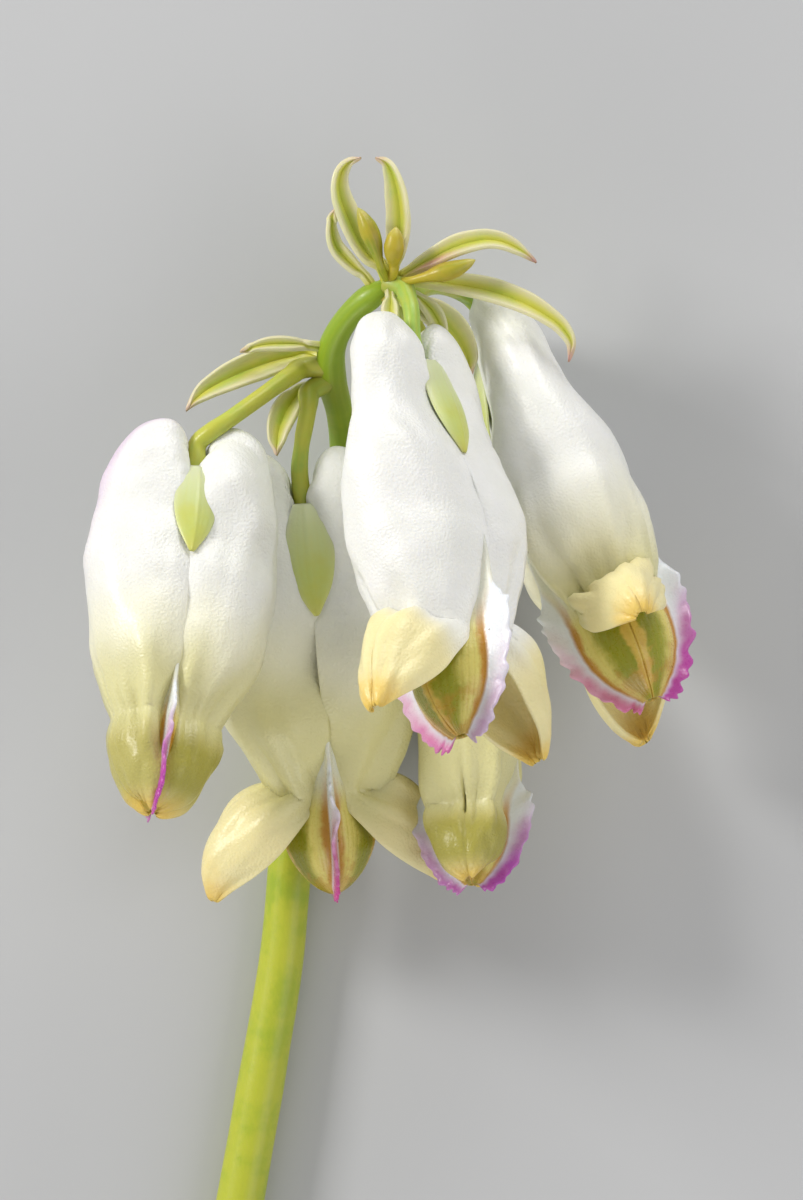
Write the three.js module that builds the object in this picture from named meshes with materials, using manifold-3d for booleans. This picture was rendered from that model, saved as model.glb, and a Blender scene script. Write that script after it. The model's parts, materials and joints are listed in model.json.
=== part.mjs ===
// A picked stem of fringed bleeding heart (Dicentra formosa, white form) laid on a flat surface.
// The stem lies along Y and arches over at its head, where its nodes carry five hanging flowers,
// eleven narrow bracts and three buds.
// Millimetres, +Z up off the surface, +Y towards the head of the stem.
//
// A flower is made in a frame of its own: +Y runs up its axis from tip to stalk, with the stalk's end at the
// origin, X points to its two outer petals and Z to its front, with a sepal and the crest of an inner petal.
import * as THREE from "three";
import { mergeVertices } from "three/addons/utils/BufferGeometryUtils.js";
import Module from "manifold-3d";

const wasm = await Module();
wasm.setup();

// ---- driving dimensions, mm ----
const FLOWER_LENGTH = 17.2; // a full-size flower from the end of its stalk to the tips of its inner petals
const OUTER_PETAL_THICKNESS = 0.34;
const INNER_PETAL_THICKNESS = 0.26;
const CREST_THICKNESS = 0.2;
const SEPAL_THICKNESS = 0.2;
const STALK_RADIUS = 0.46;
const STALK_GAP = 0.6; // from a flower stalk's end to the origin of its flower
const STALK_END = 1.1; // the last stretch of a flower stalk, which runs straight along its flower's axis
const BRACT_THICKNESS = 0.14;
const MARGIN_WRAP = (112 * Math.PI) / 180; // how far an outer petal wraps from its keel to each margin

// Each flower by the end of its stalk, the tip of its inner petals and its turn about its own axis, degrees.
// open says how far the lips of its left and right outer petals stand off: 0 hugs the inner petals,
// 1 is spread and more than 1 curls back.
const FLOWERS = [
  { name: "front", base: [0.7, 10.45, 11.5], tip: [2.6, -5.8, 18.2], turn: 49, open: [1.05, 1] },
  { name: "left", base: [-9.5, 5.75, 9.7], tip: [-11.25, -9.3, 14.7], turn: 11, open: [0, 0] },
  { name: "right", base: [4.7, 11.65, 4.15], tip: [11.4, -4.3, 10.2], turn: 95, open: [1.3, 1] },
  { name: "middle", base: [-4.6, 4.4, 6.4], tip: [-3.15, -13.4, 5.0], turn: 6, open: [1.05, 1] },
  { name: "rear", base: [3.25, -0.55, 2.95], tip: [3.3, -12.95, 8.1], turn: 80, open: [0.2, 0] },
];

// Faces along and across each kind of sheet, and round and along each kind of stalk.
const OUTER_PETAL_FACES = [15, 8];
const BLADE_FACES = [9, 4];
const CREST_FACES = [9, 1];
const SEPAL_FACES = [5, 4];
const STEM_FACES = { sides: 12, steps: 28 };
const STALK_FACES = { sides: 8, steps: 9 };
const BRACT_FACES = { sides: 8, steps: 10 };

// ---- geometry helpers ----
const MERGE_DISTANCE = 1e-4; // vertices closer than this are one
const SLOPE_STEP = 1e-3; // the step that a surface's slope is measured over

const vector = (p) => new THREE.Vector3(...p);
const curve = (points) => new THREE.CatmullRomCurve3(points.map(([x, y, z = 0]) => vector([x, y, z])));

// A value along a piece, from evenly spaced stations, eased between them.
function profile(stations) {
  const line = curve(stations.map((value) => [value, 0, 0]));
  return (t) => line.getPoint(t).x;
}

// Moves every vertex of a plain geometry by a function of its own coordinates.
function mapped(geometry, place) {
  const positions = geometry.getAttribute("position");
  const vertex = new THREE.Vector3();
  for (let i = 0; i < positions.count; i++) {
    vertex.fromBufferAttribute(positions, i);
    const moved = place(vertex.x, vertex.y, vertex.z);
    positions.setXYZ(i, moved.x, moved.y, moved.z);
  }
  geometry.deleteAttribute("normal");
  geometry.deleteAttribute("uv");
  return mergeVertices(geometry, MERGE_DISTANCE);
}

// A thin closed sheet: a flat box laid over surface(a, b), where a runs from 0 to 1 along it and b from
// -1 to 1 across.
function sheet(surface, thickness, [along, across]) {
  return mapped(new THREE.BoxGeometry(2, 1, 1, across, along, 1), (x, y, z) => {
    const a = y + 0.5;
    const [a0, a1] = [Math.max(0, a - SLOPE_STEP), Math.min(1, a + SLOPE_STEP)];
    const [b0, b1] = [Math.max(-1, x - SLOPE_STEP), Math.min(1, x + SLOPE_STEP)];
    const lengthwise = surface(a1, x).sub(surface(a0, x));
    const crosswise = surface(a, b1).sub(surface(a, b0));
    const normal = crosswise.cross(lengthwise).normalize();
    return surface(a, x).addScaledVector(normal, z * thickness);
  });
}

// A stalk or a leaf: a cylinder laid along a route, with a half-width and a half-thickness that change along
// it. face is the way the leaf's upper side looks, and cup lifts its edges towards that side.
function sweep(route, { width, thickness = width, face = [0, 0, 1], cup = () => 0, sides, steps }) {
  const upper = vector(face);
  return mapped(new THREE.CylinderGeometry(1, 1, 1, sides, steps), (x, y, z) => {
    const t = y + 0.5;
    const tangent = route.getTangentAt(t);
    const side = tangent.clone().cross(upper).normalize();
    const normal = side.clone().cross(tangent);
    const lift = z * thickness(t) + cup(t) * x * x;
    return route.getPointAt(t).addScaledVector(side, x * width(t)).addScaledVector(normal, lift);
  });
}

function solidOf(geometry) {
  return new wasm.Manifold(
    new wasm.Mesh({
      numProp: 3,
      vertProperties: new Float32Array(geometry.getAttribute("position").array),
      triVerts: new Uint32Array(geometry.index.array),
    }),
  );
}

function joined(...geometries) {
  const whole = geometries.map(solidOf).reduce((one, other) => one.add(other));
  const mesh = whole.getMesh();
  return new THREE.BufferGeometry()
    .setAttribute("position", new THREE.BufferAttribute(new Float32Array(mesh.vertProperties), 3))
    .setIndex(new THREE.BufferAttribute(new Uint32Array(mesh.triVerts), 1));
}

// Turns a geometry half round the flower's axis, to its other side.
const turned = (geometry) => geometry.clone().rotateY(Math.PI);

// ---- materials ----
const material = (color, roughness) => new THREE.MeshStandardMaterial({ color, roughness, metalness: 0 });
const FINISH = {
  outerPetal: material(0xf2f3ee, 0.55),
  innerPetal: material(0xe6cfd2, 0.5),
  sepal: material(0xc9d488, 0.55),
  stalk: material(0xb5bf3c, 0.5),
  stem: material(0xa9b12c, 0.5),
  bract: material(0xccc968, 0.55),
  bud: material(0xb3a032, 0.5),
};

function mesh(name, geometry, finish) {
  const made = new THREE.Mesh(geometry, finish);
  made.name = name;
  return made;
}

// ---- outer petal: a pouch with a spur above the stalk's end, a neck, and a hooded lip that turns out ----
// The margin's stations are [x, y, half-width of the petal there], and the keel's are [x, y].
const POUCH_MARGIN = [
  [0.42, -0.3, 0.4],
  [0.55, -0.4, 0.75],
  [0.65, -0.5, 1.0],
  [0.7, -0.7, 1.25],
  [0.6, -1.1, 1.4],
  [0.45, -2.0, 1.6],
  [0.34, -4.4, 2.05],
  [0.32, -7.6, 2.6],
  [0.38, -10.2, 2.8],
  [0.65, -12.2, 2.45],
  [0.95, -13.6, 1.85],
];
const POUCH_KEEL = [
  [0.68, 0.35],
  [0.85, 1.6],
  [1.6, 2.35],
  [2.65, 2.0],
  [3.6, 0.9],
  [4.3, -0.9],
  [4.65, -4.0],
  [4.45, -7.5],
  [3.85, -10.2],
  [2.85, -12.4],
  [2.15, -13.6],
];
const OPEN_LIP = {
  margin: [
    [1.45, -14.9, 1.75],
    [2.35, -15.8, 1.7],
    [3.5, -16.6, 1.3],
    [4.55, -17.2, 0.75],
    [5.2, -17.6, 0.2],
  ],
  keel: [
    [2.85, -13.5],
    [4.0, -13.85],
    [5.05, -14.9],
    [5.55, -16.3],
    [5.35, -17.5],
  ],
};
const CLOSED_LIP = {
  margin: [
    [1.15, -14.3, 1.8],
    [1.2, -15.0, 1.85],
    [1.15, -15.8, 1.7],
    [1.0, -16.5, 1.35],
    [0.8, -17.1, 0.6],
  ],
  keel: [
    [2.3, -14.2],
    [2.45, -14.9],
    [2.4, -15.8],
    [1.95, -16.6],
    [1.15, -17.15],
  ],
};
const NECK = new THREE.Vector2(1.9, -13.6); // a lip that curls back turns about this point

function lip(side, openness) {
  const spread = Math.min(openness, 1);
  const curl = Math.max(openness - 1, 0);
  return CLOSED_LIP[side].map((closed, i) => {
    const open = OPEN_LIP[side][i];
    const [x, y, halfWidth = 0] = closed.map((value, k) => THREE.MathUtils.lerp(value, open[k], spread));
    const station = new THREE.Vector2(x, y).rotateAround(NECK, curl);
    return [station.x, station.y, halfWidth];
  });
}

function outerPetal(openness) {
  const margin = curve([...POUCH_MARGIN, ...lip("margin", openness)]);
  const keel = curve([...POUCH_KEEL, ...lip("keel", openness)]);
  const wrapCos = Math.cos(MARGIN_WRAP);
  const surface = (a, b) => {
    const edge = margin.getPoint(a);
    const crown = keel.getPoint(a);
    const angle = b * MARGIN_WRAP;
    const share = (Math.cos(angle) - wrapCos) / (1 - wrapCos);
    const x = edge.x + (crown.x - edge.x) * share;
    const y = edge.y + (crown.y - edge.y) * share;
    return new THREE.Vector3(x, y, edge.z * Math.sin(angle));
  };
  return sheet(surface, OUTER_PETAL_THICKNESS, OUTER_PETAL_FACES);
}

// ---- inner petal: a narrow claw that spreads to a hooded blade, with a crest standing on its keel ----
// Stations of the blade are [y, z of the keel, half-width, how far the edges fall back], from claw to tip.
const BLADE = [
  [-0.5, 0.42, 0.3, 0.05],
  [-3.2, 0.7, 0.42, 0.1],
  [-6.5, 1.05, 0.5, 0.15],
  [-9.5, 1.4, 0.6, 0.2],
  [-12.0, 1.65, 0.75, 0.4],
  [-13.2, 1.8, 1.05, 0.8],
  [-14.3, 1.9, 1.65, 1.45],
  [-15.3, 1.8, 1.85, 1.45],
  [-16.3, 1.35, 1.4, 1.0],
  [-17.2, 0.55, 0.35, 0.2],
];
// Stations of the crest are [y, z where it leaves the blade, z of its free edge].
const CREST = [
  [-9.6, 1.38, 1.7],
  [-10.8, 1.5, 2.1],
  [-11.6, 1.6, 2.4],
  [-12.2, 1.68, 2.85],
  [-12.8, 1.75, 3.15],
  [-13.8, 1.8, 3.15],
  [-15.1, 1.75, 2.75],
  [-16.2, 1.35, 2.1],
  [-17.0, 0.65, 1.45],
  [-17.7, 0.35, 0.8],
];

function innerPetal() {
  const keel = curve(BLADE.map(([y, z]) => [0, y, z]));
  const spread = curve(BLADE.map(([, , halfWidth, fall]) => [halfWidth, fall]));
  const blade = (a, b) => {
    const centre = keel.getPoint(a);
    const { x: halfWidth, y: fall } = spread.getPoint(a);
    return new THREE.Vector3(b * halfWidth, centre.y, centre.z - fall * b * b);
  };
  const root = curve(CREST.map(([y, z]) => [0, y, z]));
  const edge = curve(CREST.map(([y, , z]) => [0, y, z]));
  const crest = (a, b) => root.getPoint(a).lerp(edge.getPoint(a), (b + 1) / 2);
  return joined(sheet(blade, INNER_PETAL_THICKNESS, BLADE_FACES), sheet(crest, CREST_THICKNESS, CREST_FACES));
}

// ---- sepal: a small pointed scale against the front or the back of the flower ----
// Stations are [y, z, half-width].
const SEPAL = [
  [0.15, 1.15, 0.5],
  [-1.0, 1.9, 0.95],
  [-2.2, 2.3, 1.08],
  [-3.5, 2.55, 0.8],
  [-4.8, 2.75, 0.16],
];
const SEPAL_CURL = 0.14; // how far its edges bend towards the petals

function sepal() {
  const middle = curve(SEPAL.map(([y, z]) => [0, y, z]));
  const spread = profile(SEPAL.map(([, , halfWidth]) => halfWidth));
  const surface = (a, b) => {
    const centre = middle.getPoint(a);
    return new THREE.Vector3(b * spread(a), centre.y, centre.z - SEPAL_CURL * b * b);
  };
  return sheet(surface, SEPAL_THICKNESS, SEPAL_FACES);
}

// ---- a flower ----
function flower({ name, base, tip, turn, open: [openLeft, openRight] }) {
  const group = new THREE.Group();
  const up = vector(base).sub(vector(tip));
  const size = up.length() / FLOWER_LENGTH;
  group.position.copy(vector(base));
  group.quaternion.setFromUnitVectors(new THREE.Vector3(0, 1, 0), up.normalize());
  group.rotateY(THREE.MathUtils.degToRad(turn));
  group.scale.setScalar(size);

  const [inner, scale] = [innerPetal(), sepal()];
  group.add(
    mesh(`${name}_flower_outer_petal_right`, outerPetal(openRight), FINISH.outerPetal),
    mesh(`${name}_flower_outer_petal_left`, turned(outerPetal(openLeft)), FINISH.outerPetal),
    mesh(`${name}_flower_inner_petal_front`, inner, FINISH.innerPetal),
    mesh(`${name}_flower_inner_petal_back`, turned(inner), FINISH.innerPetal),
    mesh(`${name}_flower_sepal_front`, scale, FINISH.sepal),
    mesh(`${name}_flower_sepal_back`, turned(scale), FINISH.sepal),
  );
  return group;
}

// ---- stem: lies on the surface from its cut end, then rises and arches over to the top node ----
const STEM_ROUTE = [
  [-10.2, -42.5, 1.2],
  [-8.9, -35.4, 1.2],
  [-7.65, -28.45, 1.18],
  [-6.55, -22.2, 1.16],
  [-5.7, -17.0, 1.13],
  [-5.25, -12.0, 1.11],
  [-4.85, -8.0, 1.08],
  [-4.15, -3.8, 1.05],
  [-3.35, 0.95, 1.05],
  [-2.8, 4.75, 1.5],
  [-2.7, 7.1, 2.6],
  [-2.95, 9.15, 4.2],
  [-3.3, 10.65, 5.5],
  [-3.2, 11.85, 6.6],
  [-2.4, 13.15, 7.6],
  [-1.4, 14.15, 8.3],
  [-0.55, 14.6, 8.6],
];
const stemRadius = profile([1.2, 1.17, 1.14, 1.1, 1.06, 1.02, 0.92, 0.74, 0.64, 0.55]);

// ---- flower stalks: from a node of the stem to the flower they carry, whose axis they end along ----
const STALK_ROUTES = {
  front: [[0.15, 14.3, 9.3], [0.45, 13.3, 10.3]],
  left: [[-4.65, 10.8, 5.9], [-5.5, 10.15, 7.2], [-7.0, 9.0, 8.6], [-8.5, 7.9, 9.4]],
  right: [[0.5, 14.3, 8.0], [1.4, 14.6, 6.6], [2.5, 14.5, 4.9], [3.4, 14.0, 3.6]],
  middle: [[-4.3, 9.65, 5.9], [-4.35, 8.8, 6.5], [-4.6, 7.4, 6.8]],
  rear: [[-0.15, 13.75, 7.4], [0.8, 12.3, 6.6], [1.7, 9.0, 4.6], [2.3, 5.2, 2.6], [2.55, 2.6, 2.0]],
};
const stalkWidth = profile([1.1, 0.9, 0.85, 0.9, 1.0]);

function flowerStalk({ name, base, tip }) {
  const up = vector(base).sub(vector(tip)).normalize();
  const end = vector(base).addScaledVector(up, STALK_GAP);
  const before = vector(base).addScaledVector(up, STALK_GAP + STALK_END);
  const route = new THREE.CatmullRomCurve3([...STALK_ROUTES[name].map(vector), before, end]);
  const geometry = sweep(route, { width: (t) => STALK_RADIUS * stalkWidth(t), ...STALK_FACES });
  return mesh(`${name}_flower_stalk`, geometry, FINISH.stalk);
}

// ---- bracts: narrow leaves at the nodes, each by its route, its widest half-width and the way it faces ----
const BRACTS = [
  { name: "top_bract_left_curl", half: 0.45, face: [0.8, -0.2, 0.5],
    route: [[-0.95, 15.4, 8.95], [-1.65, 15.95, 9.05], [-2.45, 17.4, 9.3], [-2.95, 18.95, 9.5],
      [-2.65, 20.0, 9.6], [-1.85, 20.35, 9.6]] },
  { name: "top_bract_right_curl", half: 0.5, face: [-0.8, -0.2, 0.5],
    route: [[-0.35, 15.5, 9.0], [-0.1, 16.3, 9.2], [0.0, 17.85, 9.5], [-0.3, 19.4, 9.6],
      [-0.7, 20.15, 9.6], [-1.2, 20.35, 9.6]] },
  { name: "top_bract_low_curl", half: 0.3, face: [0.8, -0.3, 0.4],
    route: [[-1.75, 15.0, 8.4], [-2.4, 15.5, 8.5], [-3.15, 16.35, 8.6], [-3.3, 17.35, 8.7],
      [-3.05, 18.1, 8.7]] },
  { name: "right_bract_upper", half: 0.4, face: [0, 0.6, 0.8],
    route: [[0.4, 15.1, 9.1], [1.3, 15.6, 9.4], [2.7, 16.25, 9.7], [4.15, 16.5, 9.8],
      [5.35, 16.1, 9.7], [6.2, 15.5, 9.5]] },
  { name: "right_bract_lower", half: 0.45, face: [0.2, 0.5, 0.8],
    route: [[0.75, 14.7, 8.75], [2.25, 14.55, 8.9], [4.55, 14.05, 9.1], [6.6, 13.1, 9.2],
      [7.75, 12.0, 9.2], [7.7, 10.95, 9.2]] },
  { name: "front_bract_left", half: 0.3, face: [0, 0, 1],
    route: [[-0.5, 13.9, 9.4], [-0.5, 13.1, 9.9], [-0.3, 12.1, 10.2]] },
  { name: "front_bract_right", half: 0.3, face: [0.2, 0.3, 0.9],
    route: [[0.75, 13.95, 8.8], [1.3, 13.4, 8.8], [1.7, 12.7, 8.7], [2.0, 11.7, 8.5]] },
  { name: "right_bract_broad", half: 0.6, face: [0.3, 0.5, 0.8],
    route: [[0.5, 13.6, 8.4], [1.4, 13.2, 8.2], [2.3, 12.4, 7.8], [2.95, 11.4, 7.4], [3.2, 10.3, 7.2]] },
  { name: "left_bract_short", half: 0.26, face: [0, 0.4, 1],
    route: [[-4.3, 11.8, 6.7], [-5.2, 11.85, 6.9], [-6.4, 11.8, 7.0], [-7.5, 11.5, 7.1]] },
  { name: "left_bract_broad", half: 0.55, face: [0, 0.3, 1],
    route: [[-4.5, 11.5, 5.1], [-6.0, 11.1, 5.9], [-7.9, 10.35, 6.7], [-9.35, 9.5, 7.1],
      [-10.0, 8.75, 7.2]] },
  { name: "left_bract_hanging", half: 0.5, face: [-0.4, 0, 1],
    route: [[-4.75, 9.75, 4.9], [-5.3, 8.9, 5.5], [-5.7, 7.8, 6.1], [-5.8, 6.7, 6.4]] },
];
const bractOutline = profile([0.5, 0.85, 1.0, 0.9, 0.62, 0.22]);
const bractCup = profile([0.1, 0.2, 0.22, 0.16, 0.05]);

function bract({ name, half, face, route }) {
  const shape = {
    width: (t) => half * bractOutline(t),
    thickness: () => BRACT_THICKNESS,
    cup: bractCup,
    face,
    ...BRACT_FACES,
  };
  return mesh(name, sweep(curve(route), shape), FINISH.bract);
}

// ---- buds: a short stalk that swells into an unopened flower ----
const BUDS = [
  { name: "top_bud_green", half: 0.45,
    route: [[-0.95, 15.3, 9.9], [-1.2, 16.2, 10.2], [-1.6, 17.2, 10.35], [-2.0, 18.0, 10.3]] },
  { name: "top_bud_golden", half: 0.52,
    route: [[-0.35, 15.2, 9.75], [-0.35, 16.0, 10.3], [-0.25, 17.1, 10.6]] },
  { name: "right_bud", half: 0.45,
    route: [[0.55, 14.7, 9.8], [1.4, 14.9, 10.1], [2.5, 15.2, 10.25], [3.4, 15.6, 10.3]] },
];
const budOutline = profile([0.45, 0.5, 0.8, 1.0, 0.95, 0.65, 0.2]);

function bud({ name, half, route }) {
  return mesh(name, sweep(curve(route), { width: (t) => half * budOutline(t), ...STALK_FACES }), FINISH.bud);
}

// ---- the whole flowering stem, moved so that the middle of its underside is at the origin ----
const plant = new THREE.Group();
plant.add(
  mesh("stem", sweep(curve(STEM_ROUTE), { width: stemRadius, ...STEM_FACES }), FINISH.stem),
  ...FLOWERS.map(flower),
  ...FLOWERS.map(flowerStalk),
  ...BRACTS.map(bract),
  ...BUDS.map(bud),
);
const extent = new THREE.Box3().setFromObject(plant, true);
const middle = extent.getCenter(new THREE.Vector3());
plant.position.set(-middle.x, -middle.y, -extent.min.z);

const part = new THREE.Group();
part.add(plant);

export default part;
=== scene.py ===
"""A picked stem of white fringed bleeding heart, lying on a pale table under soft studio light.

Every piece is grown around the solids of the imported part. Stems, stalks, bracts and buds follow the rings
of their own solids, and each flower's petals are shaped in the flower's own frame, which is read from its
solids. A flower's frame has +Y up its axis from tip to stalk, with the origin at the end of its stalk, X out
to its two outer petals and Z out to its front. Flower sizes are in millimetres at full size, and the scene
is in metres.
"""

from __future__ import annotations

import json
import logging
import math
from dataclasses import dataclass, field
from enum import Enum
from typing import Any, ClassVar, Sequence

import bmesh
import bpy
import numpy as np
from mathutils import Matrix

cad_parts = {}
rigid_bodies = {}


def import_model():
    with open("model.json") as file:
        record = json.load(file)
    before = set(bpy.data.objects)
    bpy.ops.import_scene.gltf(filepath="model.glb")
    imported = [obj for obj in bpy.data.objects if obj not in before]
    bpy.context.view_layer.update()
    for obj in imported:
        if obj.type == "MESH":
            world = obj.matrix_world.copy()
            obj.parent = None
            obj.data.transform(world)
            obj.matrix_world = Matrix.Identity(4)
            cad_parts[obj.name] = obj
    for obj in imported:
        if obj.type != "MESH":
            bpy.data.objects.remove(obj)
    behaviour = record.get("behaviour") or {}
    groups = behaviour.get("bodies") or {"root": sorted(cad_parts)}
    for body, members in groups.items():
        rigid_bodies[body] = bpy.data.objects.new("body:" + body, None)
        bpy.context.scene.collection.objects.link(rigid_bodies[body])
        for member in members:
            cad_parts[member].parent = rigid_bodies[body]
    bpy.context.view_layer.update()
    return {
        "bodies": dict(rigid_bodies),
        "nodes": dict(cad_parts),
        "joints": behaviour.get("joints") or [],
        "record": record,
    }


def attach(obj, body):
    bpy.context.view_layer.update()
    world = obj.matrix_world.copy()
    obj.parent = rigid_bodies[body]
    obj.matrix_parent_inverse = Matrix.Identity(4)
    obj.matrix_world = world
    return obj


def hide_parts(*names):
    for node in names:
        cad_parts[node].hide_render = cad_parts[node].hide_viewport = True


log = logging.getLogger("bleeding_heart")

MM = 0.001
BODY = "root"
TABLE_TOP = 0.0

# A flower's length from its stalk to its lips' tips, and where its stalk ends in it, in its own millimetres.
FLOWER_LENGTH = 17.2
STALK_END = np.array([0.0, -0.4, 0.0])

# Seeds of the random variation. Bracts count up from theirs, and flowers go up in steps of theirs.
STEM_SEED = 3
STALK_SEED = 5
BRACT_SEEDS = 50
FLOWER_SEEDS = 100

# The gloss that all living tissue shares.
COAT_ROUGHNESS = 0.3
TISSUE_GLOSS = 0.45

Station = Sequence[float]
Colour = tuple[float, float, float]


# ---- curves and masks ----


def spline(stations: Sequence[Station] | np.ndarray, t: np.ndarray) -> np.ndarray:
    """Evaluates a centripetal Catmull-Rom curve.

    Args:
        stations: The points that the curve passes through, evenly spaced in t.
        t: Places along the curve, from 0 to 1.

    Returns:
        One point for each value of t.
    """
    inner = np.asarray(stations, float)
    points = np.vstack([2 * inner[0] - inner[1], inner, 2 * inner[-1] - inner[-2]])
    place = np.clip(t, 0, 1) * (len(inner) - 1)
    index = np.minimum(place.astype(int), len(inner) - 2)
    w = (place - index)[:, None]
    p0, p1, p2, p3 = (points[index + k] for k in range(4))
    spans = [np.sqrt(np.linalg.norm(b - a, axis=1)) for a, b in ((p0, p1), (p1, p2), (p2, p3))]
    d0, d1, d2 = (np.maximum(span, 1e-9)[:, None] for span in spans)
    leave = ((p1 - p0) / d0 - (p2 - p0) / (d0 + d1) + (p2 - p1) / d1) * d1
    arrive = ((p2 - p1) / d1 - (p3 - p1) / (d1 + d2) + (p3 - p2) / d2) * d1
    cubic = 2 * (p1 - p2) + leave + arrive
    square = -3 * (p1 - p2) - 2 * leave - arrive
    return ((cubic * w + square) * w + leave) * w + p1


def smoothstep(low: float, high: float, value: np.ndarray) -> np.ndarray:
    """Eases from 0 at low to 1 at high."""
    share = np.clip((value - low) / (high - low), 0, 1)
    return share * share * (3 - 2 * share)


def hump(centre: float, width: float, value: np.ndarray) -> np.ndarray:
    """A smooth rise of height 1 round the centre."""
    return np.exp(-(((value - centre) / width) ** 2))


def unit(vectors: np.ndarray) -> np.ndarray:
    """Scales vectors to length 1 along their last axis."""
    return vectors / np.maximum(np.linalg.norm(vectors, axis=-1, keepdims=True), 1e-12)


class Ripple:
    """Smooth random variation along a line, made of a few waves."""

    def __init__(self, rng: np.random.Generator, slowest: float, fastest: float, waves: int = 6) -> None:
        """Draws the waves.

        Args:
            rng: The seeded source of random numbers.
            slowest: Turns of the longest wave from 0 to 1.
            fastest: Turns of the shortest wave from 0 to 1.
            waves: How many waves are added.
        """
        self.turns = rng.uniform(slowest, fastest, waves)
        self.phases = rng.uniform(0, math.tau, waves)
        self.heights = rng.uniform(0.5, 1, waves)
        self.heights /= self.heights.sum()

    def at(self, value: np.ndarray) -> np.ndarray:
        """The variation at each value, between -1 and 1."""
        waves = np.sin(math.tau * self.turns * value[..., None] + self.phases)
        return (waves * self.heights).sum(axis=-1)


class RoundRibs(Ripple):
    """Ribs that go a whole number of times round a stem."""

    def __init__(self, rng: np.random.Generator, turns: Sequence[int]) -> None:
        """Draws ribs of the given numbers of turns."""
        super().__init__(rng, 1, 2, len(turns))
        self.turns = np.array(turns, float)


class Rumple:
    """Smooth random unevenness over a surface, made of waves that run in all directions."""

    def __init__(self, rng: np.random.Generator, longest: float, shortest: float, waves: int = 22) -> None:
        """Draws the waves.

        Args:
            rng: The seeded source of random numbers.
            longest: Length of the longest wave, in millimetres.
            shortest: Length of the shortest wave, in millimetres.
            waves: How many waves are added.
        """
        lengths = np.exp(rng.uniform(math.log(shortest), math.log(longest), waves))
        ways = rng.uniform(0, math.tau, waves)
        self.pitch = math.tau * np.stack([np.cos(ways), np.sin(ways)]) / lengths
        self.phases = rng.uniform(0, math.tau, waves)
        self.heights = lengths / np.sqrt((lengths**2).sum() / 2)

    def at(self, across: np.ndarray, along: np.ndarray) -> np.ndarray:
        """The unevenness at places given in millimetres, mostly between -1 and 1."""
        phase = across[..., None] * self.pitch[0] + along[..., None] * self.pitch[1] + self.phases
        return 0.5 * (np.sin(phase) * self.heights).sum(axis=-1)


# ---- meshes ----


@dataclass
class Skin:
    """The points, faces and surface values of a piece, gathered before its mesh is made."""

    points: list[np.ndarray] = field(default_factory=list)
    faces: list[tuple[int, ...]] = field(default_factory=list)
    values: dict[str, list[np.ndarray]] = field(default_factory=dict)
    count: int = 0

    def add(self, points: np.ndarray, faces: list[tuple[int, ...]], values: dict[str, np.ndarray]) -> None:
        """Adds one closed body.

        Args:
            points: Its vertices.
            faces: Its faces, counted from its own first vertex.
            values: Named values, one for each vertex.
        """
        self.points.append(points)
        self.faces += [tuple(index + self.count for index in face) for face in faces]
        for name, value in values.items():
            self.values.setdefault(name, []).append(value)
        self.count += len(points)

    def piece(self, name: str, material: bpy.types.Material) -> bpy.types.Object:
        """Makes the mesh object.

        Args:
            name: The name of the piece.
            material: The finish that it wears.

        Returns:
            The new object, smooth shaded, with its faces pointing out.
        """
        mesh = bpy.data.meshes.new(name)
        mesh.from_pydata(np.vstack(self.points).tolist(), [], self.faces)
        for key, parts in self.values.items():
            layer = mesh.attributes.new(key, "FLOAT", "POINT")
            layer.data.foreach_set("value", np.concatenate(parts).astype(np.float32))
        shaped = bmesh.new()
        shaped.from_mesh(mesh)
        bmesh.ops.recalc_face_normals(shaped, faces=shaped.faces)
        shaped.to_mesh(mesh)
        shaped.free()
        mesh.shade_smooth()
        mesh.materials.append(material)
        made = bpy.data.objects.new(name, mesh)
        bpy.context.scene.collection.objects.link(made)
        return made


def grid_faces(index: np.ndarray, flip: bool) -> list[tuple[int, ...]]:
    """The quads of a grid of vertex numbers."""
    corners = (index[:-1, :-1], index[:-1, 1:], index[1:, 1:], index[1:, :-1])
    ordered = corners[::-1] if flip else corners
    return [tuple(quad) for quad in np.stack(ordered, axis=-1).reshape(-1, 4).tolist()]


def grid_normals(points: np.ndarray) -> np.ndarray:
    """The unit normals of a grid of points."""
    return unit(np.cross(np.gradient(points, axis=1), np.gradient(points, axis=0)))


def add_shell(skin: Skin, upper: np.ndarray, lower: np.ndarray, values: dict[str, np.ndarray]) -> None:
    """Adds a thin closed shell whose upper and lower grids share their border.

    Args:
        skin: The piece that gets the shell.
        upper: Grid of points of the upper face, whose border is the shell's border.
        lower: Grid of points of the lower face.
        values: Named grids of values, the same on both faces.
    """
    rows, columns = upper.shape[:2]
    top = np.arange(rows * columns).reshape(rows, columns)
    bottom = top.copy()
    inside = (rows - 2) * (columns - 2)
    bottom[1:-1, 1:-1] = rows * columns + np.arange(inside).reshape(rows - 2, columns - 2)
    points = np.vstack([upper.reshape(-1, 3), lower[1:-1, 1:-1].reshape(-1, 3)])
    spread = {
        name: np.concatenate([grid.ravel(), grid[1:-1, 1:-1].ravel()]) for name, grid in values.items()
    }
    skin.add(points, grid_faces(top, False) + grid_faces(bottom, True), spread)


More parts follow.
